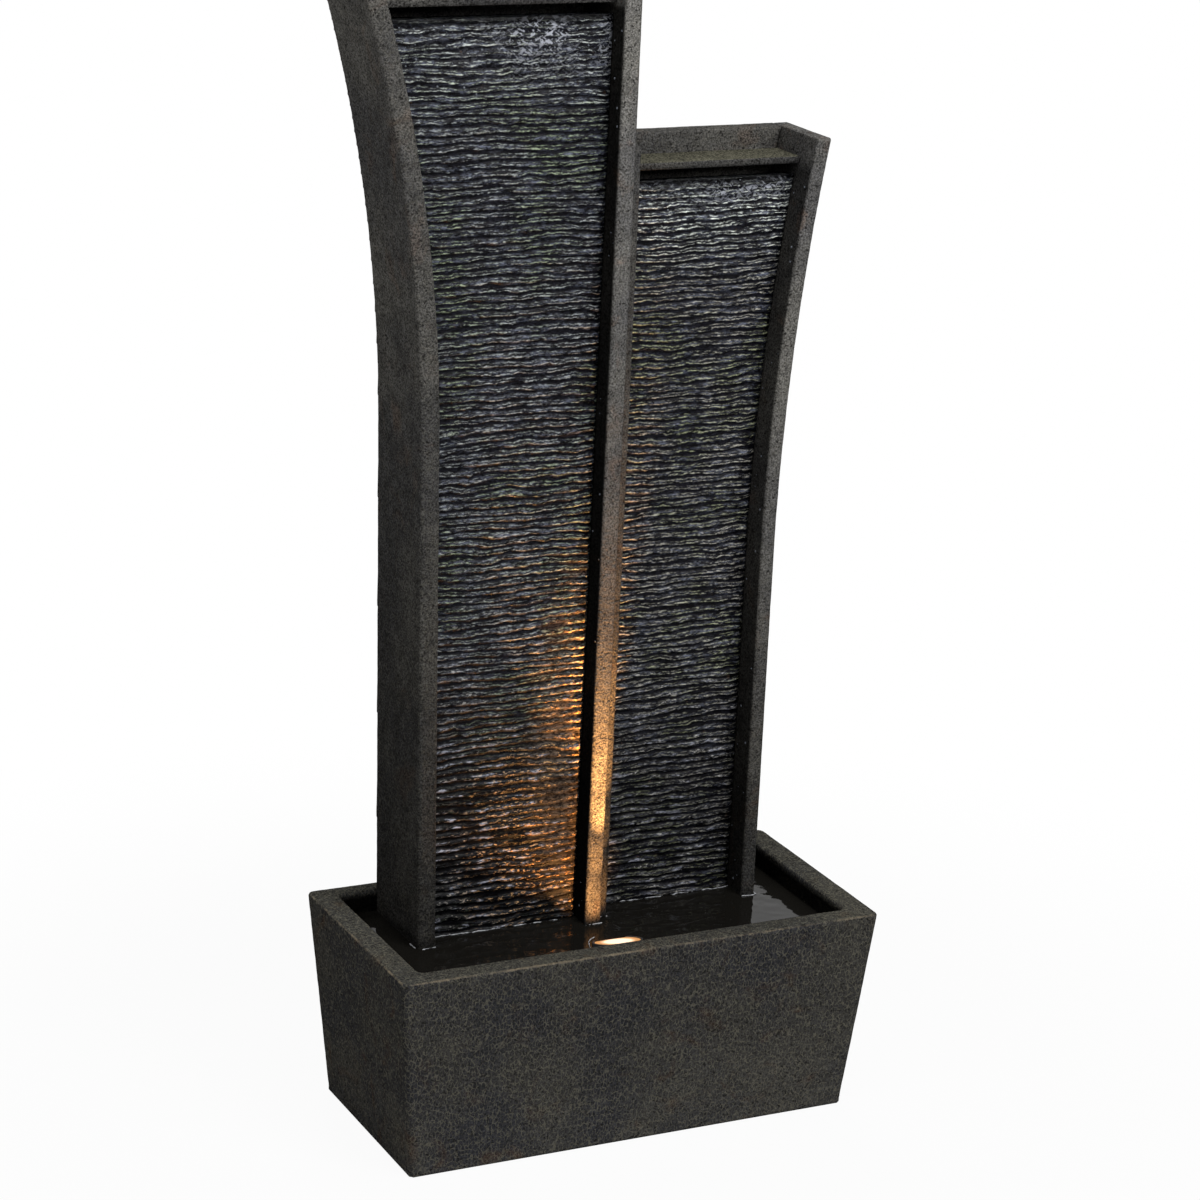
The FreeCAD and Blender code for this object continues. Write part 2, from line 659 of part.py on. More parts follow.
def make_short_riser():
    """Hose that passes through the divider and turns up inside the short tower."""
    start = V(VALVE_RIGHT, RISER_Y, TEE_Z)
    turn_in = V(SHORT_RISER_X - RISER_BEND, RISER_Y, TEE_Z)
    turn_out = V(SHORT_RISER_X, RISER_Y, TEE_Z + RISER_BEND)
    offset = RISER_BEND * math.sqrt(0.5)
    middle = V(turn_in.x + offset, RISER_Y, turn_out.z - offset)
    end = V(SHORT_RISER_X, RISER_Y, riser_top(SHORT_SIDE))
    path = Part.Wire([Part.makeLine(start, turn_in), Part.Arc(turn_in, middle, turn_out).toShape(),
                      Part.makeLine(turn_out, end)])
    skins = []
    for radius in (HOSE, HOSE_BORE):
        section = Part.Wire(Part.makeCircle(radius, start, AXIS_X))
        skins.append(path.makePipeShell([section], True, False))
    return skins[0].cut(skins[1])


def make_hose_clips():
    """Spring clips round each hose end, with their two squeeze ears."""
    places = [
        ((RISER_X, RISER_Y, PUMP_TOP + CLIP_SETBACK), AXIS_Z),
        ((RISER_X, RISER_Y, TEE_Z - TEE_HALF - CLIP_WIDTH - CLIP_SETBACK), AXIS_Z),
        ((RISER_X, RISER_Y, TEE_Z + TEE_HALF + CLIP_SETBACK), AXIS_Z),
        ((RISER_X, RISER_Y, riser_top(TALL_SIDE) - CLIP_WIDTH - CLIP_SETBACK), AXIS_Z),
        ((VALVE_RIGHT + CLIP_SETBACK, RISER_Y, TEE_Z), AXIS_X),
        ((SHORT_RISER_X, RISER_Y, riser_top(SHORT_SIDE) - CLIP_WIDTH - CLIP_SETBACK), AXIS_Z),
    ]
    clips = []
    inner = HOSE + PUSH
    outer = inner + CLIP_WALL
    for (x, y, z), axis in places:
        band = rod((x, y, z), axis, outer, CLIP_WIDTH)
        size = CLIP_WIDTH / 2
        tabs = []
        for offset in (-CLIP_WALL - CLIP_SETBACK, CLIP_SETBACK):
            if axis == AXIS_Z:
                low = (x + offset, y, z)
                high = (x + offset + CLIP_WALL, y + outer + CLIP_EAR, z + size)
            else:
                low = (x, y, z + offset)
                high = (x + size, y + outer + CLIP_EAR, z + offset + CLIP_WALL)
            tabs.append(block(low, high))
        clips.append(fused([band] + tabs).cut(rod((x, y, z), axis, inner, CLIP_WIDTH)))
    return Part.makeCompound(clips)


def spray_span(side, other_x):
    """Left and right ends of a spray pipe, kept clear of the tower's two walls."""
    z = header_top(side) + SPRAY_HEIGHT
    wall = side.side * side.reach_at(z, side.thickness)
    ends = sorted((wall, other_x))
    return ends[0] + SPRAY_END_GAP, ends[1] - SPRAY_END_GAP, z


def make_spray_pipe(side, other_x, riser_x):
    left, right, z = spray_span(side, other_x)
    inside = SPRAY_RADIUS - SPRAY_WALL
    stub_foot = header_top(side) - HEADER_FLOOR - STUB_LENGTH
    pieces = [
        rod((left, RISER_Y, z), AXIS_X, SPRAY_RADIUS, right - left),
        rod((riser_x, RISER_Y, stub_foot), AXIS_Z, SPIGOT, z - stub_foot),
    ]
    cuts = [
        rod((left, RISER_Y, z), AXIS_X, inside, right - left),
        rod((riser_x, RISER_Y, stub_foot), AXIS_Z, BORE, z - stub_foot),
    ]
    jets = int((right - left - 2 * CAP_PLUG) // JET_PITCH)
    first = (left + right - (jets - 1) * JET_PITCH) / 2
    for index in range(jets):
        cuts.append(rod((first + index * JET_PITCH, RISER_Y, z), AXIS_Z, JET_RADIUS, SPRAY_RADIUS))
    return fused(pieces).cut(cuts)


def make_spray_caps():
    caps = []
    for side, other_x in ((TALL_SIDE, DIVIDER_LEFT), (SHORT_SIDE, SHORT_LEFT)):
        left, right, z = spray_span(side, other_x)
        plug = SPRAY_RADIUS - SPRAY_WALL - PUSH
        for x, way in ((left, 1), (right, -1)):
            disc = rod((x, RISER_Y, z), AXIS_X * -way, SPRAY_RADIUS, CAP)
            caps.append(fused([disc, rod((x, RISER_Y, z), AXIS_X * way, plug, CAP_PLUG)]))
    return Part.makeCompound(caps)


def make_riser_grommets():
    grommets = []
    inner = SPIGOT + PUSH
    for side, x in ((TALL_SIDE, RISER_X), (SHORT_SIDE, SHORT_RISER_X)):
        top = header_top(side)
        bush = rod((x, RISER_Y, top - HEADER_FLOOR), AXIS_Z, inner + GROMMET_WALL, HEADER_FLOOR)
        flange = rod((x, RISER_Y, top), AXIS_Z, inner + GROMMET_WALL + GROMMET_LIP, GROMMET_FLANGE)
        hole = rod((x, RISER_Y, top - HEADER_FLOOR), AXIS_Z, inner, HEADER_FLOOR + GROMMET_FLANGE)
        grommets.append(fused([bush, flange]).cut(hole))
    return Part.makeCompound(grommets)


# Lamp

LENS_FOOT = LENS_TOP - LENS_DOME - LENS_THICK
CUP_TOP = LENS_FOOT - GASKET
CUP_OUTER = LENS_RADIUS - PUSH
CUP_FOOT = CUP_TOP - CUP_DEPTH
LAMP_BODY = LENS_RADIUS - BEZEL_WALL
PIVOT_Z = LENS_TOP - PIVOT_DROP
BEZEL_OUTER = LENS_RADIUS + PUSH + BEZEL_WALL
EAR_INNER = LAMP_BODY + PIVOT_BOSS + EAR_GAP


def lamp_disc(z, radius, height):
    return rod((LAMP_X, LAMP_Y, z), AXIS_Z, radius, height)


def tilted(shape):
    """A piece of the lamp head, built upright, leaned towards the cascades about its pivot screws."""
    return shape.rotated(V(LAMP_X, LAMP_Y, PIVOT_Z), AXIS_X, -LAMP_TILT)


def make_lamp_housing():
    board_seat = CUP_TOP - BOARD_DROP - BOARD_THICK
    pieces = [
        lamp_disc(CUP_FOOT, LAMP_BODY, CUP_DEPTH),
        lamp_disc(CUP_TOP - CUP_FLANGE, CUP_OUTER, CUP_FLANGE),
        rod((LAMP_X - LAMP_BODY - PIVOT_BOSS, LAMP_Y, PIVOT_Z), AXIS_X, PIVOT_BOSS, 2 * (LAMP_BODY + PIVOT_BOSS)),
    ]
    hollow_radius = LAMP_BODY - CUP_WALL
    cuts = [
        lamp_disc(board_seat, hollow_radius, CUP_TOP - board_seat),
        lamp_disc(CUP_FOOT + CUP_WALL, hollow_radius - CUP_WALL, board_seat - CUP_FOOT - CUP_WALL),
    ]
    for way in (-1, 1):
        mouth = LAMP_X + way * (LAMP_BODY + PIVOT_BOSS)
        cuts.append(rod((mouth, LAMP_Y, PIVOT_Z), AXIS_X * -way, PIVOT_RADIUS + RUNNING, PIVOT_BOSS))
    return fused(pieces).cut(cuts)


def make_lamp_board():
    seat = CUP_TOP - BOARD_DROP - BOARD_THICK
    pieces = [lamp_disc(seat, LAMP_BODY - CUP_WALL - PUSH, BOARD_THICK)]
    for index in range(DIODES):
        turn = 2 * math.pi * index / DIODES
        x = LAMP_X + DIODE_CIRCLE * math.cos(turn)
        y = LAMP_Y + DIODE_CIRCLE * math.sin(turn)
        top = seat + BOARD_THICK
        low = (x - DIODE / 2, y - DIODE / 2, top)
        pieces.append(block(low, (x + DIODE / 2, y + DIODE / 2, top + DIODE_HEIGHT)))
    return fused(pieces)


def make_lamp_gasket():
    return ring((LAMP_X, LAMP_Y, CUP_TOP), AXIS_Z, CUP_OUTER, CUP_OUTER - GASKET_WIDTH, GASKET)


def make_lens():
    """Thick disc with a rounded shoulder."""
    disc = lamp_disc(LENS_FOOT, LENS_RADIUS, LENS_THICK + LENS_DOME)
    return round_edges(disc, LENS_DOME, lambda edge: edge.BoundBox.ZMin > LENS_FOOT + LENS_THICK)


def make_bezel():
    """Ring that clamps the lens to the cup: a skirt outside and a lip over the lens's edge."""
    top = LENS_FOOT + LENS_THICK
    skirt = ring((LAMP_X, LAMP_Y, top - BEZEL_SKIRT), AXIS_Z, BEZEL_OUTER, LENS_RADIUS + PUSH, BEZEL_SKIRT)
    lip = ring((LAMP_X, LAMP_Y, top), AXIS_Z, BEZEL_OUTER, LENS_RADIUS, BEZEL_LIP)
    return fused([skirt, lip])


def make_lamp_strap():
    """Bent strap from the divider's front to two ears that hold the lamp."""
    tread = PIVOT_Z - CRADLE_DROP
    half = STRAP_WIDTH / 2
    front = LAMP_Y - EAR_WIDTH / 2
    back = LAMP_Y + EAR_WIDTH / 2
    outer = EAR_INNER + STRAP
    pieces = [
        block((LAMP_X - half, TALL_FRONT - STRAP, tread - STRAP_LEG), (LAMP_X + half, TALL_FRONT, tread + STRAP)),
        block((LAMP_X - half, front, tread), (LAMP_X + half, TALL_FRONT, tread + STRAP)),
        block((LAMP_X - outer, front, tread), (LAMP_X + outer, back, tread + STRAP)),
    ]
    cuts = [rod((0, TALL_FRONT - STRAP, z), AXIS_Y, SCREW_RADIUS + PUSH, STRAP) for z in strap_screw_heights()]
    for way in (-1, 1):
        inner_x, outer_x = sorted((LAMP_X + way * EAR_INNER, LAMP_X + way * outer))
        pieces.append(block((inner_x, front, tread), (outer_x, back, PIVOT_Z + EAR_WIDTH / 2)))
        cuts.append(rod((inner_x, LAMP_Y, PIVOT_Z), AXIS_X, PIVOT_RADIUS + PUSH, STRAP))
    return fused(pieces).cut(cuts)


def strap_screw_heights():
    middle = PIVOT_Z - CRADLE_DROP - STRAP_LEG / 2
    return (middle - SCREW_SPACING / 2, middle + SCREW_SPACING / 2)


def make_strap_screws():
    screws = []
    for z in strap_screw_heights():
        shank = rod((0, TALL_FRONT - STRAP, z), AXIS_Y, SCREW_RADIUS, STRAP + SCREW_DEPTH)
        head = rod((0, TALL_FRONT - STRAP - SCREW_HEAD_HEIGHT, z), AXIS_Y, SCREW_HEAD, SCREW_HEAD_HEIGHT)
        screws.append(fused([head, shank]))
    return Part.makeCompound(screws)


def make_pivot_screws():
    screws = []
    inner = LAMP_BODY + SEAT_GAP
    outer = EAR_INNER + STRAP
    for way in (-1, 1):
        shank = rod((LAMP_X + way * inner, LAMP_Y, PIVOT_Z), AXIS_X * way, PIVOT_RADIUS, outer - inner)
        head = rod((LAMP_X + way * outer, LAMP_Y, PIVOT_Z), AXIS_X * way, PIVOT_HEAD, SCREW_HEAD_HEIGHT)
        screws.append(fused([shank, head]))
    return Part.makeCompound(screws)


# Service hatch

FRAME_HALF = HATCH_WIDTH / 2 - HATCH_GAP
FRAME_LOW = HATCH_FOOT + HATCH_GAP
FRAME_HIGH = HATCH_FOOT + HATCH_HEIGHT - HATCH_GAP
MOUTH_HALF = FRAME_HALF - FRAME_WALL
MOUTH_LOW = FRAME_LOW + FRAME_WALL
MOUTH_HIGH = FRAME_HIGH - FRAME_WALL
HATCH_FACE = TOWER_BACK + FRAME_FACE
DOOR_INNER = HATCH_FACE - DOOR_THICK
LIP_FACE = DOOR_INNER - SEAT_GAP
HATCH_MIDDLE = (MOUTH_LOW + MOUTH_HIGH) / 2
HINGE_X = HATCH_X - MOUTH_HALF
HINGE_Y = HATCH_FACE + KNUCKLE
MAGNET_RIGHT = HATCH_X + MOUTH_HALF


def hatch_block(half, low, high, front, back):
    return block((HATCH_X - half, front, low), (HATCH_X + half, back, high))


def knuckle(low, leaf_way, leaf_width, bore):
    """One knuckle of the hinge with its leaf laid on the hatch's face."""
    barrel = rod((HINGE_X, HINGE_Y, low), AXIS_Z, KNUCKLE, KNUCKLE_LENGTH)
    left, right = sorted((HINGE_X, HINGE_X + leaf_way * leaf_width))
    leaf = block((left, HATCH_FACE, low), (right, HATCH_FACE + LEAF, low + KNUCKLE_LENGTH))
    return fused([barrel, leaf]).cut(rod((HINGE_X, HINGE_Y, low), AXIS_Z, bore, KNUCKLE_LENGTH))


def knuckle_feet():
    step = KNUCKLE_LENGTH + KNUCKLE_GAP
    first = HATCH_MIDDLE - KNUCKLE_LENGTH / 2 - step
    return [first + index * step for index in range(3)]


def make_hatch_frame():
    flange = FRAME_FLANGE - HATCH_GAP
    sleeve = hatch_block(FRAME_HALF, FRAME_LOW, FRAME_HIGH, BACK_INNER, TOWER_BACK)
    face = hatch_block(FRAME_HALF + flange, FRAME_LOW - flange, FRAME_HIGH + flange, TOWER_BACK, HATCH_FACE)
    mouth = hatch_block(MOUTH_HALF, MOUTH_LOW, MOUTH_HIGH, LIP_FACE, HATCH_FACE)
    throat = hatch_block(MOUTH_HALF - FRAME_LIP, MOUTH_LOW + FRAME_LIP, MOUTH_HIGH - FRAME_LIP, BACK_INNER, LIP_FACE)
    half = MAGNET_HEIGHT / 2
    pocket = block((MAGNET_RIGHT - MAGNET_WIDTH, LIP_FACE - MAGNET_DEPTH, HATCH_MIDDLE - half),
                   (MAGNET_RIGHT, LIP_FACE, HATCH_MIDDLE + half))
    frame = fused([sleeve, face]).cut([mouth, throat, pocket])
    lower, _, upper = knuckle_feet()
    outer = [knuckle(low, -1, FRAME_LEAF_WIDTH, HINGE_PIN) for low in (lower, upper)]
    return fused([frame] + outer)


def make_hatch_door():
    half = MOUTH_HALF - DOOR_GAP
    plate = hatch_block(half, MOUTH_LOW + DOOR_GAP, MOUTH_HIGH - DOOR_GAP, DOOR_INNER, HATCH_FACE)
    centre = knuckle(knuckle_feet()[1], 1, LEAF_WIDTH, HINGE_PIN + RUNNING)
    return fused([plate, centre])


def make_hinge_pin():
    low = knuckle_feet()[0]
    high = knuckle_feet()[2] + KNUCKLE_LENGTH
    shank = rod((HINGE_X, HINGE_Y, low), AXIS_Z, HINGE_PIN, high - low)
    return fused([shank, rod((HINGE_X, HINGE_Y, high), AXIS_Z, HINGE_PIN_HEAD, LEAF)])


def make_hatch_pull():
    x = MAGNET_RIGHT - PULL_INSET
    stem = rod((x, HATCH_FACE, HATCH_MIDDLE), AXIS_Y, PULL_STEM, PULL_HEIGHT / 2)
    grip = rod((x, HATCH_FACE + PULL_HEIGHT / 2, HATCH_MIDDLE), AXIS_Y, PULL_RADIUS, PULL_HEIGHT / 2)
    grip = round_edges(grip, LEAF, lambda edge: edge.BoundBox.YLength < EPS)
    return fused([stem, grip])


def magnet_block(front, back, margin):
    half = MAGNET_HEIGHT / 2 - margin
    low = (MAGNET_RIGHT - MAGNET_WIDTH + margin, front, HATCH_MIDDLE - half)
    return block(low, (MAGNET_RIGHT - DOOR_GAP - margin, back, HATCH_MIDDLE + half))


def make_hatch_magnet():
    return magnet_block(LIP_FACE - MAGNET_DEPTH, DOOR_INNER - STRIKER - SEAT_GAP, 0)


def make_hatch_striker():
    return magnet_block(DOOR_INNER - STRIKER, DOOR_INNER, 0)


NODES = {
    "basin": make_basin(),
    "tall_left_wall": make_flared_wall(TALL_SIDE, TALL_FRONT),
    "divider_wall": make_divider(),
    "tall_cascade_panel": make_cascade(TALL_SIDE, DIVIDER_LEFT, TALL_FACE, TALL_PANEL),
    "tall_back_panel": make_tall_back(),
    "tall_spill_hood": make_hood(TALL_SIDE, DIVIDER_LEFT, TALL_FACE),
    "tall_header_floor": make_header_floor(TALL_SIDE, DIVIDER_LEFT, TALL_FACE, TALL_PANEL, RISER_X),
    "short_left_wall": make_straight_wall(DIVIDER_RIGHT, SHORT_LEFT, SHORT_FRONT, SHORT_TOP),
    "short_right_wall": make_flared_wall(SHORT_SIDE, SHORT_FRONT),
    "short_cascade_panel": make_cascade(SHORT_SIDE, SHORT_LEFT, SHORT_FACE, SHORT_PANEL),
    "short_back_panel": make_back(SHORT_SIDE, SHORT_LEFT),
    "short_spill_hood": make_hood(SHORT_SIDE, SHORT_LEFT, SHORT_FACE),
    "short_header_floor": make_header_floor(SHORT_SIDE, SHORT_LEFT, SHORT_FACE, SHORT_PANEL, SHORT_RISER_X),
    "cord_grommet": make_cord_grommet(),
    "drain_stopper": make_drain_stopper(),
    "pump_housing": make_pump_housing(),
    "pump_chamber_cover": make_chamber_cover(),
    "pump_shaft": make_shaft(),
    "pump_rotor": make_rotor(),
    "pump_strainer_cover": make_strainer(),
    "pump_flow_dial": make_flow_dial(),
    "pump_suction_feet": make_pump_feet(),
    "pump_cable_gland": make_pump_gland(),
    "supply_hose": make_supply_hose(),
    "branch_tee": make_tee(),
    "tall_riser_hose": make_tall_riser(),
    "short_riser_hose": make_short_riser(),
    "valve_body": make_valve_body(),
    "valve_plug": make_valve_plug(),
    "hose_clips": make_hose_clips(),
    "tall_spray_pipe": make_spray_pipe(TALL_SIDE, DIVIDER_LEFT, RISER_X),
    "short_spray_pipe": make_spray_pipe(SHORT_SIDE, SHORT_LEFT, SHORT_RISER_X),
    "spray_pipe_caps": make_spray_caps(),
    "riser_grommets": make_riser_grommets(),
    "lamp_strap": make_lamp_strap(),
    "lamp_strap_screws": make_strap_screws(),
    "lamp_pivot_screws": make_pivot_screws(),
    "lamp_housing": tilted(make_lamp_housing()),
    "lamp_board": tilted(make_lamp_board()),
    "lamp_gasket": tilted(make_lamp_gasket()),
    "lamp_lens": tilted(make_lens()),
    "lamp_bezel": tilted(make_bezel()),
    "hatch_frame": make_hatch_frame(),
    "hatch_door": make_hatch_door(),
    "hatch_hinge_pin": make_hinge_pin(),
    "hatch_pull": make_hatch_pull(),
    "hatch_magnet": make_hatch_magnet(),
    "hatch_striker": make_hatch_striker(),
}

os.makedirs("parts", exist_ok=True)
for name, shape in NODES.items():
    shape.exportStep("parts/" + name + ".step")
    print(name, len(shape.Solids), "valid" if shape.isValid() else "BROKEN", round(shape.Volume))
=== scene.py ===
"""Looks of a garden fountain: two cascade towers of dark cast stone in one basin of water."""

import math

import bpy
import numpy as np
from mathutils import Matrix, Vector


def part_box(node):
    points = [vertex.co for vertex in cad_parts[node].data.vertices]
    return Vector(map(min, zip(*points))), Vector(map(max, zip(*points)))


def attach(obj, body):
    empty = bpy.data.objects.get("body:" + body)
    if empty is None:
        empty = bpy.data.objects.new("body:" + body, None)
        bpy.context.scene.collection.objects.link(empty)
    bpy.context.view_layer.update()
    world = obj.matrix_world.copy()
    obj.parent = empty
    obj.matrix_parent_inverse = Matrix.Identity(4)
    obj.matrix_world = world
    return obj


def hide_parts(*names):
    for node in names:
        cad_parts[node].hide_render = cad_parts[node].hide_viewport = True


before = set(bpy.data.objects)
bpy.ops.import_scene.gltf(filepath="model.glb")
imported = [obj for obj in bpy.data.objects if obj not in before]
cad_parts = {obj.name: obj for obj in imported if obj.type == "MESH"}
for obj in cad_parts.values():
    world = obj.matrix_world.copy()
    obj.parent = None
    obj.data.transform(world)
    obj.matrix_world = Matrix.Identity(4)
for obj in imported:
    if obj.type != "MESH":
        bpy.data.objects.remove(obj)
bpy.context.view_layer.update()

MM = 0.001

# Camera at the photograph's station, angles in degrees
CAMERA_PLACE = Vector((-1.31622, -2.61442, 1.38374))
CAMERA_YAW = 26.6057
CAMERA_PITCH = 17.4568
CAMERA_ROLL = 2.5668
CAMERA_LENS = 107.92
SENSOR_WIDTH = 36

# Basin
BASIN_HEIGHT = 186 * MM
RIM_HALF = 227 * MM
DEPTH_HALF = 110 * MM
END_TAPER = 18 * MM
FRONT_TAPER = 15 * MM
RIM_END = 24 * MM
RIM_FRONT = 22 * MM
RIM_BACK = 16 * MM
FLOOR = 16 * MM

# Towers
BOND = 0.2 * MM
BOND_HALF = 1.5 * MM
BOND_INSET = Vector((0, 3 * MM, 3 * MM))
DIVIDER_HALF = 8 * MM
TALL_FRONT = -2 * MM
SHORT_FRONT = 11 * MM
TALL_REACH = 164 * MM
TALL_LEAN = 1.3
TALL_BEND = 618 * MM
TALL_RADIUS = 1357 * MM
TALL_WALL = 18 * MM
SHORT_LEFT = 20 * MM
SHORT_REACH = 168 * MM
SHORT_BEND = 480 * MM
SHORT_RADIUS = 2170 * MM
SHORT_WALL = 14 * MM

# Laid courses of the cascades
COURSE = 7 * MM
RELIEF = 2.8 * MM
ROW_STEP = 1.1 * MM
COLUMN_STEP = 2.2 * MM
SPLASH_DEPTH = 65 * MM
SHORT_SPLASH = 30 * MM
RUSH_DEPTH = 100 * MM
LIT_MIDDLE = Vector((-40 * MM, 0, 245 * MM))
LIT_REACH = Vector((110 * MM, 0, 130 * MM))
EDGE_MIDDLE = Vector((-18 * MM, 0, 345 * MM))
EDGE_REACH = Vector((54 * MM, 0, 190 * MM))
LOW_FOOT = 260 * MM
LOW_HEAD = 480 * MM
GLINT_FOOT = 300 * MM
GLINT_HEAD = 720 * MM
SHADE_WAVER = 10 * MM
SHADE_DEEP = 6 * MM
SHADE_END = 15 * MM

# Pool, foam and beads
WATER_LEVEL = 165.6 * MM
WATER_DEPTH = 3 * MM
WATER_STEP = 2.4 * MM
WATER_BITE = 1 * MM
FOAM_LIFT = 0.4 * MM
FOAM_GAP = 0.7 * MM
FOAM_AROUND = 3.5 * MM
FOAM_TURN = (2.0, 3.3)
FOAM_STEPS = 8
FOAM_LEFT_END = 12 * MM
FOAM_RIGHT_END = 60 * MM
BEAD_INSET = 3 * MM
BEAD_ROWS = 24
HEAD_BEAD = 1 * MM
HEAD_INSET = 4 * MM
HEAD_LIFT = 1.2 * MM
HEAD_DROP = 2 * MM
TALL_BEAD_TOP = 950 * MM
SHORT_BEAD_TOP = 810 * MM

# Marks on the stone
HAIR_CURL = (2 * MM, 2 * MM, 2 * MM)
RUB_RAGGED = 2 * MM
RUB_INNER = 2.9 * MM
RUB_OUTER = 3.6 * MM
DAMP_WAVER = 4 * MM
DAMP_FOOT = WATER_LEVEL + 1 * MM
DAMP_HEAD = WATER_LEVEL + 13 * MM
WET_RIM_FOOT = 178 * MM
WET_RIM_HEAD = 184 * MM
DUST_FOOT = 170 * MM
DUST_HEAD = 180 * MM

# Colours, linear
CHARCOAL = (0.056, 0.055, 0.055, 1)
SLATE = (0.056, 0.057, 0.064, 1)
OLIVE = (0.090, 0.087, 0.080, 1)
DUST = (0.106, 0.102, 0.072, 1)
RUST = (0.105, 0.064, 0.042, 1)
TAN = (0.280, 0.225, 0.150, 1)
HAIR = (0.150, 0.140, 0.106, 1)
PIT = (0.018, 0.017, 0.016, 1)
GAP_SHADE_BLACK = (0.004, 0.004, 0.006, 1)
DEEP_SHADE_BLACK = (0.001, 0.001, 0.0015, 1)
FILM_REFLECTION_BLUE = (0.034, 0.038, 0.052, 1)
STROKE_REFLECTION_BLUE = (0.190, 0.198, 0.240, 1)
RIDGE_HIGHLIGHT_GREY = (0.215, 0.230, 0.230, 1)
RIDGE_HIGHLIGHT_MOSS = (0.172, 0.206, 0.140, 1)
RUSH_HIGHLIGHT_WHITE = (0.600, 0.640, 0.600, 1)
SHORT_TINT = (1.240, 1.120, 0.980, 1)
LAMP_GLOW_AMBER = (0.350, 0.196, 0.078, 1)
LAMP_GLOW_FILM = (0.050, 0.038, 0.028, 1)
GLINT = (0.420, 0.410, 0.390, 1)
SPLASH_SPARKLE_WHITE = (0.330, 0.345, 0.390, 1)
FOAM_SHEEN_GREY = (0.300, 0.310, 0.330, 1)
LAMP_COLOUR = (1.0, 0.46, 0.14)
LAMP_OFFSET = Vector((0, 2 * MM, 6 * MM))


class Bench:
    """Short ways of adding nodes to one shader or geometry tree."""

    def __init__(self, tree):
        self.tree = tree

    def add(self, kind, settings=None, inputs=None):
        node = self.tree.nodes.new(kind)
        for key, value in (settings or {}).items():
            setattr(node, key, value)
        for key, value in (inputs or {}).items():
            self.feed(node.inputs[key], value)
        return node

    def feed(self, socket, value):
        if isinstance(value, bpy.types.NodeSocket):
            self.tree.links.new(value, socket)
        else:
            socket.default_value = value

    def maths(self, operation, *values):
        return self.add("ShaderNodeMath", {"operation": operation}, dict(enumerate(values))).outputs[0]

    def times(self, first, second):
        return self.maths("MULTIPLY", first, second)

    def away(self, run, rise):
        """Distance that two legs at a right angle span."""
        squares = self.maths("ADD", self.maths("POWER", run, 2), self.maths("POWER", rise, 2))
        return self.maths("SQRT", squares)

    def scaled(self, vector, factors):
        node = self.add("ShaderNodeVectorMath", {"operation": "MULTIPLY"}, {0: vector, 1: factors})
        return node.outputs[0]

    def lengthened(self, vector, length):
        node = self.add("ShaderNodeVectorMath", {"operation": "SCALE"}, {0: vector, "Scale": length})
        return node.outputs[0]

    def split(self, vector):
        return self.add("ShaderNodeSeparateXYZ", inputs={0: vector}).outputs

    def noise(self, place, scale, detail=2.0, roughness=0.5, distortion=0.0):
        inputs = {"Vector": place, "Scale": scale, "Detail": detail, "Roughness": roughness,
                  "Distortion": distortion}
        return self.add("ShaderNodeTexNoise", inputs=inputs).outputs[0]

    def ramp(self, value, low, high, to_low=0.0, to_high=1.0):
        """Smooth step of value from to_low at low to to_high at high."""
        inputs = {"Value": value, "From Min": low, "From Max": high, "To Min": to_low,
                  "To Max": to_high}
        return self.add("ShaderNodeMapRange", {"interpolation_type": "SMOOTHSTEP"}, inputs).outputs[0]

    def mix(self, share, first, second, how="MIX"):
        settings = {"data_type": "RGBA", "blend_type": how}
        return self.add("ShaderNodeMix", settings, {0: share, 6: first, 7: second}).outputs[2]

    def shade(self, colour, value):
        """Colour times a grey value."""
        grey = self.add("ShaderNodeCombineColor", inputs={0: value, 1: value, 2: value}).outputs[0]
        return self.mix(1.0, colour, grey, "MULTIPLY")

    def named(self, name):
        """Values of a mark on the geometry."""
        node = self.add("GeometryNodeInputNamedAttribute", {"data_type": "FLOAT"}, {"Name": name})
        return node.outputs[0]

    def moved(self, geometry, offset):
        inputs = {"Geometry": geometry, "Offset": offset}
        return self.add("GeometryNodeSetPosition", inputs=inputs).outputs[0]


class Finish(Bench):
    """A Principled material, with its pattern laid on Object coordinates."""

    def __init__(self, name, **plain):
        self.material = bpy.data.materials.new(name)
        self.material.use_nodes = True
        super().__init__(self.material.node_tree)
        self.shader = self.tree.nodes["Principled BSDF"]
        self.place = self.add("ShaderNodeTexCoord").outputs["Object"]
        for label, value in plain.items():
            self.set(label.replace("_", " "), value)

    def set(self, label, value):
        self.feed(self.shader.inputs[label], value)

    def mark(self, name):
        return self.add("ShaderNodeAttribute", {"attribute_name": name}).outputs["Fac"]

    def bump(self, height, distance, strength):
        inputs = {"Strength": strength, "Distance": distance, "Height": height}
        return self.add("ShaderNodeBump", inputs=inputs).outputs[0]


def rubbed_edge(stone):
    """1 along the outer edge of the basin's rim, in a thin broken line."""
    x, y, z = stone.split(stone.place)
    from_end = stone.maths("SUBTRACT", RIM_HALF, stone.maths("ABSOLUTE", x))
    from_side = stone.maths("SUBTRACT", DEPTH_HALF, stone.maths("ABSOLUTE", y))
    inward = stone.maths("MINIMUM", from_end, from_side)
    down = stone.maths("SUBTRACT", BASIN_HEIGHT, z)
    ragged = stone.noise(stone.place, 160, 4, 0.7)
    away = stone.maths("MULTIPLY_ADD", ragged, RUB_RAGGED, stone.away(inward, down))
    patchy = stone.ramp(stone.noise(stone.place, 34, 3, 0.6), 0.42, 0.62, 0.04, 0.42)
    return stone.times(stone.ramp(away, RUB_INNER, RUB_OUTER, 1, 0), patchy)


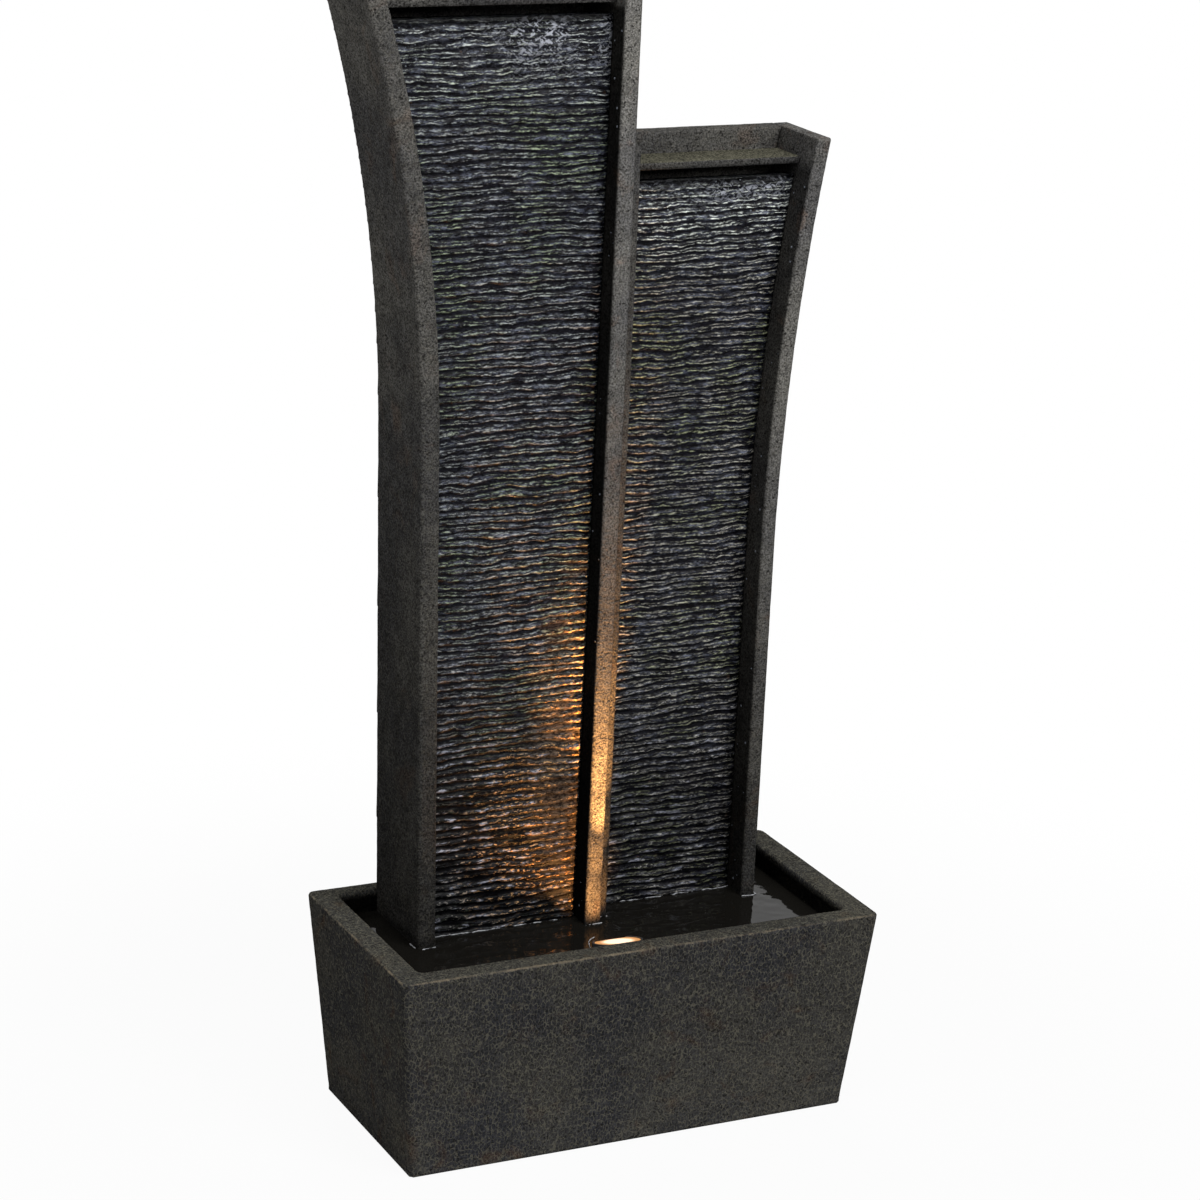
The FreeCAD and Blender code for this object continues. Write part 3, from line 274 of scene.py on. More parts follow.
def hairlines(stone, share):
    """Short curling hairlines: the edges between drawn-out cells, broken off here and there."""
    curl = stone.add("ShaderNodeTexNoise", inputs={"Vector": stone.place, "Scale": 330.0})
    tall = stone.scaled(stone.place, (1.0, 1.0, 0.6))
    bent = stone.add("ShaderNodeVectorMath", {"operation": "MULTIPLY_ADD"},
                     {0: curl.outputs["Color"], 1: HAIR_CURL, 2: tall})
    cells = stone.add("ShaderNodeTexVoronoi", {"feature": "DISTANCE_TO_EDGE"},
                      {"Vector": bent.outputs[0], "Scale": 320.0})
    line = stone.ramp(cells.outputs["Distance"], 0.04, 0.12, 1, 0)
    gaps = stone.ramp(stone.noise(stone.place, 230, 2, 0.6), 0.38, 0.6, 0.2 * share, share)
    return stone.times(line, gaps)


def cast_stone(name, tone, foot_shading, mottling, hairs, rust_share, wet_shade_tone=0.07,
               foot=(180 * MM, 850 * MM), rubbed=False):
    """Pitted cast stone: clouds, rust, settled dust, hairlines, pits and wet stretches; painted shade
    and light change with height, and the wet stretches are darkened further as painted shade.
    """
    stone = Finish(name)
    height = stone.split(stone.place)[2]
    clouds = stone.ramp(stone.noise(stone.place, 9, 4, 0.6), 0.36, 0.66)
    mottle = stone.noise(stone.place, 75, 5, 0.65)
    grain = stone.noise(stone.place, 600, 4, 0.7)
    colour = stone.mix(clouds, SLATE if rubbed else CHARCOAL, OLIVE)
    rust = stone.ramp(stone.noise(stone.place, 22, 6, 0.65, 0.8), 0.54, 0.72, 0, rust_share)
    colour = stone.mix(rust, colour, RUST)
    colour = stone.mix(stone.mark("settled"), colour, DUST)
    # Painted shade towards the foot of the walls, on top of damp there; on the basin (foot shading
    # above 1) painted light towards its foot.
    damp_and_shading = stone.ramp(height, *foot, foot_shading, 1.0)
    blotch = stone.ramp(mottle, 0.34, 0.66, tone * (1 - mottling), tone * (1 + mottling))
    colour = stone.shade(colour, stone.times(damp_and_shading, blotch))
    contrast = 0.7 - 0.7 * hairs
    colour = stone.shade(colour, stone.ramp(grain, 0.36, 0.64, 1 - contrast, 1 + contrast))
    colour = stone.mix(hairlines(stone, hairs), colour, HAIR)
    cells = stone.add("ShaderNodeTexVoronoi", {"feature": "SMOOTH_F1"},
                      {"Vector": stone.place, "Scale": 400.0})
    sparse = stone.ramp(stone.noise(stone.place, 160, 2), 0.46, 0.62, 0, 0.9)
    pits = stone.times(stone.ramp(cells.outputs["Distance"], 0.18, 0.38, 1, 0), sparse)
    colour = stone.mix(pits, colour, PIT)
    if rubbed:
        colour = stone.mix(rubbed_edge(stone), colour, TAN)
    # Wet stretches take wet_shade_tone of their colour: damp stone, and darker still as painted shade
    # in the recesses beside the cascades, in the tray and inside the basin.
    wet = stone.mark("wet")
    stone.set("Base Color", stone.mix(wet, colour, stone.shade(colour, wet_shade_tone)))
    dry_rough = stone.ramp(mottle, 0.3, 0.7, 0.74, 0.92)
    wet_rough = stone.ramp(grain, 0.3, 0.7, 0.16, 0.34)
    rough = stone.add("ShaderNodeMix", inputs={0: wet, 2: dry_rough, 3: wet_rough}).outputs[0]
    stone.set("Roughness", rough)
    dimples = stone.noise(stone.place, 270, 3, 0.6)
    relief = stone.maths("MULTIPLY_ADD", dimples, 2.2, stone.times(grain, 0.9))
    stone.set("Normal", stone.bump(stone.maths("SUBTRACT", relief, pits), 0.9 * MM, 0.9))
    stone.set("Specular IOR Level", 0.0)
    return stone.material


def course_lines(wet, phase):
    """Thin crest line of each course, and a fainter one on its long fall: where painted highlights go.
    """
    turn = wet.maths("FRACT", phase)
    crest = wet.times(wet.ramp(turn, 0.14, 0.22), wet.ramp(turn, 0.25, 0.4, 1, 0))
    fall = wet.times(wet.ramp(turn, 0.5, 0.58), wet.ramp(turn, 0.6, 0.72, 0.6, 0))
    return wet.maths("ADD", crest, fall)


def crossed_dashes(wet):
    """Short dashes that lean both ways, as where falling water breaks up."""
    leaning = []
    for angle in (-0.6, 0.6):
        turned = wet.add("ShaderNodeVectorRotate", {"rotation_type": "Y_AXIS"},
                         {"Vector": wet.place, "Angle": angle})
        dash = wet.noise(wet.scaled(turned.outputs[0], (0.4, 1.0, 1.3)), 360, 2, 0.6)
        leaning.append(wet.ramp(dash, 0.56, 0.62))
    return wet.maths("MAXIMUM", *leaning)


def lit_patch(wet, middle, reach):
    """1 at a place on the tall cascade where the lamp shines, which fades out around it."""
    x, _, z = wet.split(wet.place)
    run = wet.maths("DIVIDE", wet.maths("SUBTRACT", x, middle.x), reach.x)
    rise = wet.maths("DIVIDE", wet.maths("SUBTRACT", z, middle.z), reach.z)
    tall_side = wet.ramp(x, -DIVIDER_HALF, DIVIDER_HALF, 1, 0)
    return wet.times(wet.ramp(wet.away(run, rise), 0.3, 1.0, 1, 0), tall_side)


def wet_courses(name):
    """Stone courses under running water: black gaps of painted shade, film of painted reflection, pale
    crests of painted highlight, painted glints and lamp glow, and splash with painted sparkle.
    """
    wet = Finish(name)
    crest = wet.mark("crest")
    across, _, height = wet.split(wet.place)
    ragged = wet.noise(wet.scaled(wet.place, (0.6, 1.0, 1.0)), 300, 3, 0.6)
    ragged = wet.maths("MULTIPLY_ADD", ragged, 0.5, -0.25)
    stripes = wet.noise(wet.scaled(wet.place, (0.12, 1.0, 1.0)), 620, 3, 0.6)
    streaks = wet.noise(wet.scaled(wet.place, (0.3, 1.0, 1.2)), 330, 4, 0.7)
    patches = wet.noise(wet.scaled(wet.place, (0.4, 1.0, 1.4)), 110, 5, 0.75)
    on_tall = wet.ramp(across, -DIVIDER_HALF, SHORT_LEFT, 1.0, 0.6)
    # The lower tall cascade is painted darker, as painted shade: blacker gaps, less film and fainter
    # crest lines.
    low_shade = wet.times(wet.ramp(height, LOW_FOOT, LOW_HEAD, 1, 0), on_tall)
    # Bluish film patches on the crests' slopes: painted reflection of soft light in the water film.
    film_reflection = wet.times(wet.ramp(crest, 0.15, 0.6), wet.ramp(patches, 0.45, 0.58))
    film_reflection = wet.times(film_reflection, wet.ramp(stripes, 0.36, 0.62, 0.3, 1.0))
    film_reflection = wet.times(film_reflection, wet.ramp(low_shade, 0, 1, 1.0, 0.08))
    gap = wet.mix(low_shade, GAP_SHADE_BLACK, DEEP_SHADE_BLACK)
    colour = wet.mix(film_reflection, gap, wet.shade(FILM_REFLECTION_BLUE, wet.ramp(patches, 0.4, 0.7, 0.8, 1.9)))
    moss = wet.ramp(wet.noise(wet.place, 13, 3, 0.6), 0.42, 0.6)
    # Pale lines along the crests and falls are painted highlights, grey and moss-tinted, warmer on the
    # short cascade.
    line = course_lines(wet, wet.maths("ADD", wet.mark("phase"), ragged))
    line = wet.times(line, wet.ramp(streaks, 0.42, 0.58))
    line = wet.times(line, wet.ramp(low_shade, 0, 1, 1.0, 0.12))
    on_short = wet.ramp(across, -DIVIDER_HALF, SHORT_LEFT)
    ridge = wet.mix(on_short, wet.mix(moss, RIDGE_HIGHLIGHT_GREY, RIDGE_HIGHLIGHT_MOSS), SHORT_TINT, "MULTIPLY")
    # Near the head the crest lines turn white: painted highlights of the rushing water.
    ridge = wet.mix(wet.mark("rush_highlight"), ridge, RUSH_HIGHLIGHT_WHITE)
    colour = wet.mix(line, colour, ridge)
    # Bluish strokes on the lower tall cascade: painted reflections on the wet film.
    reflection_stroke = wet.noise(wet.scaled(wet.place, (0.22, 1.0, 1.0)), 210, 4, 0.6, 0.4)
    reflection_stroke = wet.times(wet.ramp(reflection_stroke, 0.53, 0.62), wet.ramp(crest, 0.45, 0.75))
    reflection_stroke = wet.times(reflection_stroke, low_shade)
    colour = wet.mix(reflection_stroke, colour, STROKE_REFLECTION_BLUE)
    spots = wet.ramp(wet.noise(wet.place, 110, 3, 0.6), 0.68, 0.76, 0, 0.6)
    colour = wet.mix(spots, colour, wet.shade(RUST, 0.4))
    fleck = wet.noise(wet.scaled(wet.place, (0.4, 1.0, 1.2)), 480, 3, 0.7)
    cluster = wet.ramp(wet.noise(wet.place, 60, 3, 0.6), 0.42, 0.6, 0.15, 1.0)
    glint = wet.times(wet.ramp(fleck, 0.54, 0.64), wet.ramp(crest, 0.35, 0.65))
    by_height = wet.ramp(height, GLINT_FOOT, GLINT_HEAD, 0.5, 0.1)
    glint = wet.times(wet.times(glint, cluster), by_height)
    colour = wet.mix(glint, colour, GLINT)
    # Amber flecks and a warm lift of the dark film where the lamp shines: painted lamp light.
    lamp_glints = wet.times(wet.ramp(fleck, 0.55, 0.61), wet.ramp(crest, 0.3, 0.6))
    lit_edge = lit_patch(wet, EDGE_MIDDLE, EDGE_REACH)
    lit = wet.maths("MAXIMUM", lit_patch(wet, LIT_MIDDLE, LIT_REACH), lit_edge)
    colour = wet.mix(wet.times(lamp_glints, lit), colour, LAMP_GLOW_AMBER)
    lit_film = wet.times(lit_edge, wet.ramp(crest, 0.1, 0.5, 0.2, 1.0))
    colour = wet.mix(lit_film, colour, LAMP_GLOW_FILM, "LIGHTEN")
    fine = wet.noise(wet.scaled(wet.place, (0.38, 1.0, 1.0)), 640, 3, 0.7)
    colour = wet.shade(colour, wet.ramp(fine, 0.4, 0.6, 0.25, 1.75))
    # At the heads the courses are painted black as shade, and white dashes laid over them: broken water
    # with painted sparkle.
    splash = wet.mark("splash")
    colour = wet.mix(wet.times(splash, 0.8), colour, GAP_SHADE_BLACK)
    colour = wet.mix(wet.times(splash, crossed_dashes(wet)), colour, SPLASH_SPARKLE_WHITE)
    # The colour is darkened under the hood's lip: painted shadow of the hood.
    wet.set("Base Color", wet.shade(colour, wet.mark("painted_daylight")))
    wet.set("Roughness", wet.ramp(streaks, 0.3, 0.7, 0.16, 0.4))
    wet.set("Specular IOR Level", 0.04)
    wet.set("Normal", wet.bump(streaks, 0.8 * MM, 0.6))
    return wet.material


def pool_water(name):
    water = Finish(name, Base_Color=(0.007, 0.0065, 0.0055, 1), IOR=1.33, Alpha=0.95)
    drift = water.noise(water.place, 40, 3, 0.5)
    water.set("Roughness", water.ramp(drift, 0.3, 0.7, 0.02, 0.07))
    water.set("Specular IOR Level", 0.3)
    return water.material


def moulded(name, colour, rough, grain=900, depth=0.12 * MM, **plain):
    """Moulded plastic or rubber: a fine spark-eroded grain and faint handling marks."""
    skin = Finish(name, **plain)
    marks = skin.noise(skin.place, 70, 4, 0.6)
    skin.set("Base Color", skin.shade(colour, skin.ramp(marks, 0.3, 0.7, 0.85, 1.12)))
    skin.set("Roughness", skin.ramp(marks, 0.3, 0.7, rough - 0.08, rough + 0.1))
    skin.set("Normal", skin.bump(skin.noise(skin.place, grain, 2), depth, 0.4))
    return skin.material


def brushed_steel(name):
    steel = Finish(name, Metallic=1.0)
    lines = steel.noise(steel.scaled(steel.place, (1.0, 1.0, 0.05)), 2600, 2)
    steel.set("Base Color", steel.mix(lines, (0.46, 0.46, 0.45, 1), (0.62, 0.62, 0.60, 1)))
    steel.set("Roughness", steel.ramp(lines, 0.3, 0.7, 0.24, 0.4))
    return steel.material


def lit_lens(name):
    """Ribbed glass over a warm light, white-hot in the middle and amber at the rim."""
    glass = Finish(name, Roughness=0.15, IOR=1.49)
    x, y, _ = glass.split(glass.place)
    low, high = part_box("lamp_lens")
    middle = (low + high) / 2
    run = glass.maths("SUBTRACT", x, middle.x)
    rise = glass.maths("SUBTRACT", y, middle.y)
    radius = high.x - middle.x
    heat = glass.ramp(glass.away(run, rise), 0.45 * radius, 0.85 * radius, 1, 0)
    glass.set("Base Color", glass.mix(heat, (0.8, 0.45, 0.18, 1), (1.0, 0.86, 0.62, 1)))
    glass.set("Emission Color", glass.mix(heat, (1.0, 0.36, 0.10, 1), (1.0, 0.74, 0.54, 1)))
    glass.set("Emission Strength", glass.ramp(heat, 0, 1, 0.3, 1.0))
    rings = glass.add("ShaderNodeTexWave", {"wave_type": "RINGS", "rings_direction": "Z"},
                      {"Vector": glass.place, "Scale": 90})
    glass.set("Normal", glass.bump(rings.outputs["Fac"], 0.3 * MM, 0.3))
    return glass.material


def new_mesh(name, points, edges, faces):
    mesh = bpy.data.meshes.new(name)
    mesh.from_pydata(points, edges, faces)
    return mesh


def new_object(name, data):
    made = bpy.data.objects.new(name, data)
    bpy.context.scene.collection.objects.link(made)
    return made


def settle(made):
    """Turns what the modifiers make of an object into its own plain mesh."""
    graph = bpy.context.evaluated_depsgraph_get()
    shaped = made.evaluated_get(graph)
    mesh = bpy.data.meshes.new_from_object(shaped, preserve_all_data_layers=True, depsgraph=graph)
    made.modifiers.clear()
    blank = made.data
    made.data = mesh
    bpy.data.meshes.remove(blank)
    mesh.name = made.name
    mesh.polygons.foreach_set("use_smooth", np.ones(len(mesh.polygons), bool))
    return made


def tree_with(name, sizes):
    """A geometry tree with one geometry in and out, and its named sizes as inputs."""
    tree = bpy.data.node_groups.new(name, "GeometryNodeTree")
    tree.interface.new_socket("Geometry", in_out="INPUT", socket_type="NodeSocketGeometry")
    tree.interface.new_socket("Geometry", in_out="OUTPUT", socket_type="NodeSocketGeometry")
    for label, value in sizes.items():
        socket = tree.interface.new_socket(label, in_out="INPUT", socket_type="NodeSocketFloat")
        socket.default_value = value
    bench = Bench(tree)
    return bench, bench.add("NodeGroupInput").outputs, bench.add("NodeGroupOutput").inputs


def shaped_by(made, tree, sizes):
    """Puts a geometry tree on an object, with its sizes set."""
    modifier = made.modifiers.new(tree.name, "NODES")
    modifier.node_group = tree
    for item in tree.interface.items_tree:
        if item.in_out == "INPUT" and item.name in sizes:
            modifier[item.identifier] = sizes[item.name]
    return made


def vertex_values(mesh, name, size):
    values = np.empty(len(mesh.vertices) * size, np.float32)
    mesh.vertices.foreach_get(name, values)
    return values.reshape(-1, size)


def give_mark(mesh, name, values):
    layer = mesh.attributes.get(name) or mesh.attributes.new(name, "FLOAT", "POINT")
    layer.data.foreach_set("value", np.clip(values, 0, 1).astype(np.float32))


def smooth_step(values, low, high):
    share = np.clip((values - low) / (high - low), 0, 1)
    return share * share * (3 - 2 * share)


def stand_in(made, node, body="fountain"):
    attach(made, body)
    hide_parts(node)


# Cast stone pieces
def hand_finish_tree():
    """Sinks a surface by a slow swell and by small dents, and leaves the level that it stands on."""
    sizes = {"Swell": 0.8 * MM, "Swell Scale": 24.0, "Dent": 0.5 * MM, "Dent Scale": 170.0,
             "Foot": 4 * MM}
    bench, given, out = tree_with("hand_finish", sizes)
    place = bench.add("GeometryNodeInputPosition").outputs[0]
    normal = bench.add("GeometryNodeInputNormal").outputs[0]
    swell = bench.times(bench.noise(place, given["Swell Scale"]), given["Swell"])
    dent = bench.times(bench.noise(place, given["Dent Scale"], 3), given["Dent"])
    inward = bench.ramp(bench.split(place)[2], 0, given["Foot"], 0, -1)
    depth = bench.times(bench.maths("ADD", swell, dent), inward)
    bench.feed(out["Geometry"], bench.moved(given["Geometry"], bench.lengthened(normal, depth)))
    return bench.tree


HAND_FINISH = hand_finish_tree()


def cast_piece(node, voxel, swell, dent, material):
    """Copy of a stone node on an even grid, with slightly uneven faces and edges."""
    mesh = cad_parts[node].data.copy()
    made = new_object("cast_" + node, mesh)
    made.modifiers.new("join", "WELD").merge_threshold = 0.01 * MM
    grid = made.modifiers.new("grid", "REMESH")
    grid.mode = "VOXEL"
    grid.voxel_size = voxel
    close = made.modifiers.new("close", "SHRINKWRAP")
    close.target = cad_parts[node]
    shaped_by(made, HAND_FINISH, {"Swell": swell, "Dent": dent})
    settle(made)
    made.data.materials.clear()
    made.data.materials.append(material)
    stand_in(made, node)
    return made


def damp_foot(place):
    """Wet band that climbs the stone just above the pool."""
    waver = DAMP_WAVER * np.sin(place[:, 0] * 90) * np.sin(place[:, 0] * 37 + place[:, 1] * 60)
    return 0.6 - 0.6 * smooth_step(place[:, 2] + waver, DAMP_FOOT, DAMP_HEAD)


def wet_side(made, facing, front, hood):
    """Wets a wall's foot, and its face that looks along facing, behind the front, below the hood; above
    the hood that face keeps 0.4 of the mark as painted shade in the tray.
    """
    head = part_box(hood)[0].z
    place = vertex_values(made.data, "co", 3)
    normal = vertex_values(made.data, "normal", 3)
    inner = smooth_step(normal[:, 0] * facing, 0.4, 0.8)
    inner *= smooth_step(place[:, 1], front + 1 * MM, front + 4 * MM)
    # Above the hood the face stays 0.4 marked: painted shade in the tray, not water.
    inner *= 1 - 0.6 * smooth_step(place[:, 2], head - 6 * MM, head + 4 * MM)
    give_mark(made.data, "wet", np.maximum(inner, damp_foot(place)))


def wet_basin(made):
    """Wets the inside of the basin."""
    place = vertex_values(made.data, "co", 3)
    share = 1 - place[:, 2] / BASIN_HEIGHT
    reach_x = RIM_HALF - END_TAPER * share
    reach_y = DEPTH_HALF - FRONT_TAPER * share
    inside = np.minimum(reach_x - RIM_END - np.abs(place[:, 0]), reach_y - RIM_FRONT + place[:, 1])
    inside = np.minimum(inside, reach_y - RIM_BACK - place[:, 1])
    below_rim = 1 - smooth_step(place[:, 2], WET_RIM_FOOT, WET_RIM_HEAD)
    give_mark(made.data, "wet", smooth_step(inside, -4 * MM, -1.5 * MM) * below_rim)


def drip_and_shade_edge(made, node):
    """Wets the front of a hood towards its lower edge, as drips and as painted shade towards that edge.
    """
    low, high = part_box(node)
    height = vertex_values(made.data, "co", 3)[:, 2]
    ahead = -vertex_values(made.data, "normal", 3)[:, 1]
    share = 0.45 * smooth_step(ahead, 0.5, 0.9)
    give_mark(made.data, "wet", share * smooth_step(height, high.z, low.z))


def settle_dust(made, share):
    """Marks the faces that look up, where dust settles, above the water."""
    height = vertex_values(made.data, "co", 3)[:, 2]
    upward = vertex_values(made.data, "normal", 3)[:, 2]
    above = smooth_step(height, DUST_FOOT, DUST_HEAD)
    give_mark(made.data, "settled", share * smooth_step(upward, 0.6, 0.95) * above)


def wall_face(reach, lean, bend, radius, inset, height):
    """Distance from the middle plane to a flared wall's face, inset inside its outer one."""
    angle = math.radians(lean)
    centre = reach + (bend - FLOOR) * math.tan(angle) + radius * math.cos(angle)
    level = bend - radius * math.sin(angle)
    wide = radius + inset
    start = level + wide * math.sin(angle)
    straight = centre - wide * math.cos(angle) - (start - height) * math.tan(angle)
    arc = centre - np.sqrt(np.maximum(wide ** 2 - (height - level) ** 2, 0))
    return np.where(height > start, arc, straight)


# Cascade panels
def slab(name, left, right, front, back, heights, columns):
    """Closed slab whose front is a fine grid; left and right give its edges at each height."""
    rows = len(heights)
    share = np.linspace(0, 1, columns + 1)
    across = left[:, None] + (right - left)[:, None] * share[None, :]
    level = np.repeat(heights[:, None], columns + 1, axis=1)
    face = np.stack([across, np.full_like(across, front), level], axis=2).reshape(-1, 3)
    behind = [np.stack([edge, np.full(rows, back), heights], axis=1) for edge in (left, right)]
    points = np.concatenate([face, *behind])
    wide = columns + 1
    far_left = rows * wide
    far_right = far_left + rows
    faces = []
    for row in range(rows - 1):
        near = row * wide
        above = near + wide
        faces += [(near + i, near + i + 1, above + i + 1, above + i) for i in range(columns)]
        faces.append((far_left + row, near, above, far_left + row + 1))
        faces.append((near + columns, far_right + row, far_right + row + 1, above + columns))
        faces.append((far_right + row, far_left + row, far_left + row + 1, far_right + row + 1))
    top = (rows - 1) * wide
    faces.append((*range(columns, -1, -1), far_left, far_right))
    faces.append((*range(top, top + wide), far_right + rows - 1, far_left + rows - 1))
    mesh = new_mesh(name, points.tolist(), [], faces)
    edge = np.minimum(np.arange(wide), columns - np.arange(wide)) / 2
    give_mark(mesh, "front", np.concatenate([np.tile(edge, rows), np.zeros(2 * rows)]))
    return new_object(name, mesh)


def course_ridge(bench, phase):
    """Height of one course from 0 to 1: a quick rise to a narrow crest and a long fall."""
    profile = bench.add("ShaderNodeFloatCurve", inputs={"Value": bench.maths("FRACT", phase)})
    curve = profile.mapping.curves[0]
    for at, rise in ((0.14, 0.72), (0.28, 1.0), (0.46, 0.6), (0.72, 0.18)):
        curve.points.new(at, rise)
    curve.points[-1].location = (1, 0)
    profile.mapping.update()
    return profile.outputs[0]


def laid_courses_tree():
    """Raises wandering courses on a slab's front, with broken crests, chips and a splashed head."""
    sizes = {"Course": COURSE, "Relief": RELIEF, "Wander": 1.0, "Ripple": 0.44, "Head": 900 * MM,
             "Splash": SPLASH_DEPTH, "Rush Highlight": 0.5, "Calm Side": -200 * MM, "Lively Side": 0.0}
    bench, given, out = tree_with("laid_courses", sizes)
    place = bench.add("GeometryNodeInputPosition").outputs[0]
    x, _, height = bench.split(place)
    front = bench.named("front")
    slow = bench.noise(bench.scaled(place, (1.0, 1.0, 2.4)), 11, 2)
    quick = bench.noise(bench.scaled(place, (1.0, 1.0, 1.5)), 52, 3)
    drift = bench.times(slow, bench.times(given["Wander"], 2))
    drift = bench.maths("MULTIPLY_ADD", quick, bench.times(given["Ripple"], 2), drift)
    phase = bench.maths("ADD", bench.maths("DIVIDE", height, given["Course"]), drift)
    broken = bench.ramp(bench.noise(bench.scaled(place, (1.0, 1.0, 3.4)), 28, 3), 0.32, 0.62, 0.2, 0.9)
    ridge = bench.times(course_ridge(bench, phase), broken)
    chips = bench.times(bench.noise(bench.scaled(place, (0.7, 1.0, 1.0)), 240, 3, 0.7), 0.42)
    below = bench.maths("SUBTRACT", given["Head"], height)
    near_head = bench.ramp(below, 0, given["Splash"], 1, 0)
    # Painted shadow of the hood over the head of each cascade: dark near the top, with a wavering edge.
    edge = bench.maths("MULTIPLY_ADD", bench.noise(place, 90, 3, 0.6), SHADE_WAVER, below)
    painted_daylight = bench.ramp(edge, SHADE_DEEP, SHADE_END, 0.1, 1)
    near_side = bench.ramp(x, given["Calm Side"], given["Lively Side"], 0.08, 1.0)
    patches = bench.ramp(bench.noise(place, 28, 2), 0.36, 0.6)
    wash = bench.times(bench.times(near_head, near_side), patches)
    # Share of painted white highlight on the crest lines near the head.
    rush_highlight = bench.times(bench.ramp(below, 0.2 * RUSH_DEPTH, RUSH_DEPTH, 1, 0), given["Rush Highlight"])
    splash = bench.times(wash, bench.noise(place, 340, 2))
    crest = bench.maths("ADD", bench.maths("ADD", ridge, chips), bench.times(splash, 0.9))
    crest = bench.maths("MINIMUM", crest, 1.0)
    marked = given["Geometry"]
    marks = {"crest": crest, "splash": wash, "rush_highlight": rush_highlight, "phase": phase, "painted_daylight": painted_daylight}
    for label, value in marks.items():
        marked = bench.add("GeometryNodeStoreNamedAttribute", {"data_type": "FLOAT", "domain": "POINT"},
                           {"Geometry": marked, "Name": label, "Value": value}).outputs[0]
    push = bench.times(bench.times(crest, front), bench.times(given["Relief"], -1))
    offset = bench.add("ShaderNodeCombineXYZ", inputs={1: push}).outputs[0]
    bench.feed(out["Geometry"], bench.moved(marked, offset))
    return bench.tree


LAID_COURSES = laid_courses_tree()


def cascade(node, left, right, head, material):
    """Cascade panel in its node's place; left and right give its edges, head the sizes at its top."""
    low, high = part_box(node)
    heights = np.linspace(low.z, high.z, int((high.z - low.z) / ROW_STEP))
    columns = int((high.x - low.x) / COLUMN_STEP)
    made = slab("laid_" + node, left(heights), right(heights), low.y + RELIEF, high.y, heights, columns)
    shaped_by(made, LAID_COURSES, {"Head": high.z, **head})
    settle(made)
    made.data.materials.append(material)
    stand_in(made, node)


def upright(across):
    """Edge that stays at one place across at every height."""
    return lambda heights: np.full_like(heights, across)


def tall_inner(heights):
    return BOND - wall_face(TALL_REACH, TALL_LEAN, TALL_BEND, TALL_RADIUS, TALL_WALL, heights)


def short_inner(heights):
    return wall_face(SHORT_REACH, 0, SHORT_BEND, SHORT_RADIUS, SHORT_WALL, heights) - BOND


def bond_lines():
    """Adhesive in the joints beside the divider, set back from the faces."""
    joints = {
        "tall_back_panel": -DIVIDER_HALF,
        "short_left_wall": DIVIDER_HALF,
        "short_back_panel": SHORT_LEFT,
    }
    sides = ((0, 1, 3, 2), (4, 6, 7, 5), (0, 4, 5, 1), (2, 3, 7, 6), (0, 2, 6, 4), (1, 5, 7, 3))
    points = []
    faces = []
    for node, across in joints.items():
        low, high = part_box(node)
        near, far = low + BOND_INSET, high - BOND_INSET
        faces += [[len(points) + corner for corner in side] for side in sides]
        for x in (across - BOND_HALF, across + BOND_HALF):
            points += [(x, y, z) for y in (near.y, far.y) for z in (near.z, far.z)]
    mesh = new_mesh("bond_lines", points, [], faces)
    mesh.materials.append(moulded("bond_adhesive", (0.024, 0.023, 0.021, 1), rough=0.8))
    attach(new_object("bond_lines", mesh), "fountain")


# Pool
def ripple_tree():
    """Lifts a still sheet into small waves that are liveliest under the cascades."""
    sizes = {"Calm": 0.5 * MM, "Lively": 0.9 * MM, "Near": 0.0, "Far": -60 * MM}
    bench, given, out = tree_with("pool_ripples", sizes)
    place = bench.add("GeometryNodeInputPosition").outputs[0]
    top = bench.named("front")
    wave = bench.maths("SUBTRACT", bench.noise(place, 55, 2, 0.5, 0.6), 0.5)
    chop = bench.maths("SUBTRACT", bench.noise(place, 120, 2, 0.5, 0.4), 0.5)
    stir = bench.ramp(bench.split(place)[1], given["Far"], given["Near"])
    lift = bench.times(bench.times(chop, given["Lively"]), stir)
    lift = bench.maths("MULTIPLY_ADD", wave, given["Calm"], lift)
    offset = bench.add("ShaderNodeCombineXYZ", inputs={2: bench.times(lift, top)}).outputs[0]
    bench.feed(out["Geometry"], bench.moved(given["Geometry"], offset))
    return bench.tree


def pool():
    """Sheet of water across the basin, which the towers and the lamp pass through."""
    share = 1 - WATER_LEVEL / BASIN_HEIGHT
    x = RIM_HALF - END_TAPER * share - RIM_END + WATER_BITE
    reach = DEPTH_HALF - FRONT_TAPER * share
    front = RIM_FRONT - reach - WATER_BITE
    back = reach - RIM_BACK + WATER_BITE
    rows = np.linspace(front, back, int((back - front) / WATER_STEP))
    edge = np.full(len(rows), x)
    columns = int(2 * x / WATER_STEP)
    made = slab("pool_water", -edge, edge, -WATER_LEVEL, WATER_DEPTH - WATER_LEVEL, rows, columns)
    lay_flat = Matrix(((1, 0, 0, 0), (0, 0, 1, 0), (0, -1, 0, 0), (0, 0, 0, 1)))
    made.data.transform(lay_flat)
    shaped_by(made, ripple_tree(), {})
    settle(made)
    made.data.materials.append(pool_water("pool_water"))
    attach(made, "fountain")


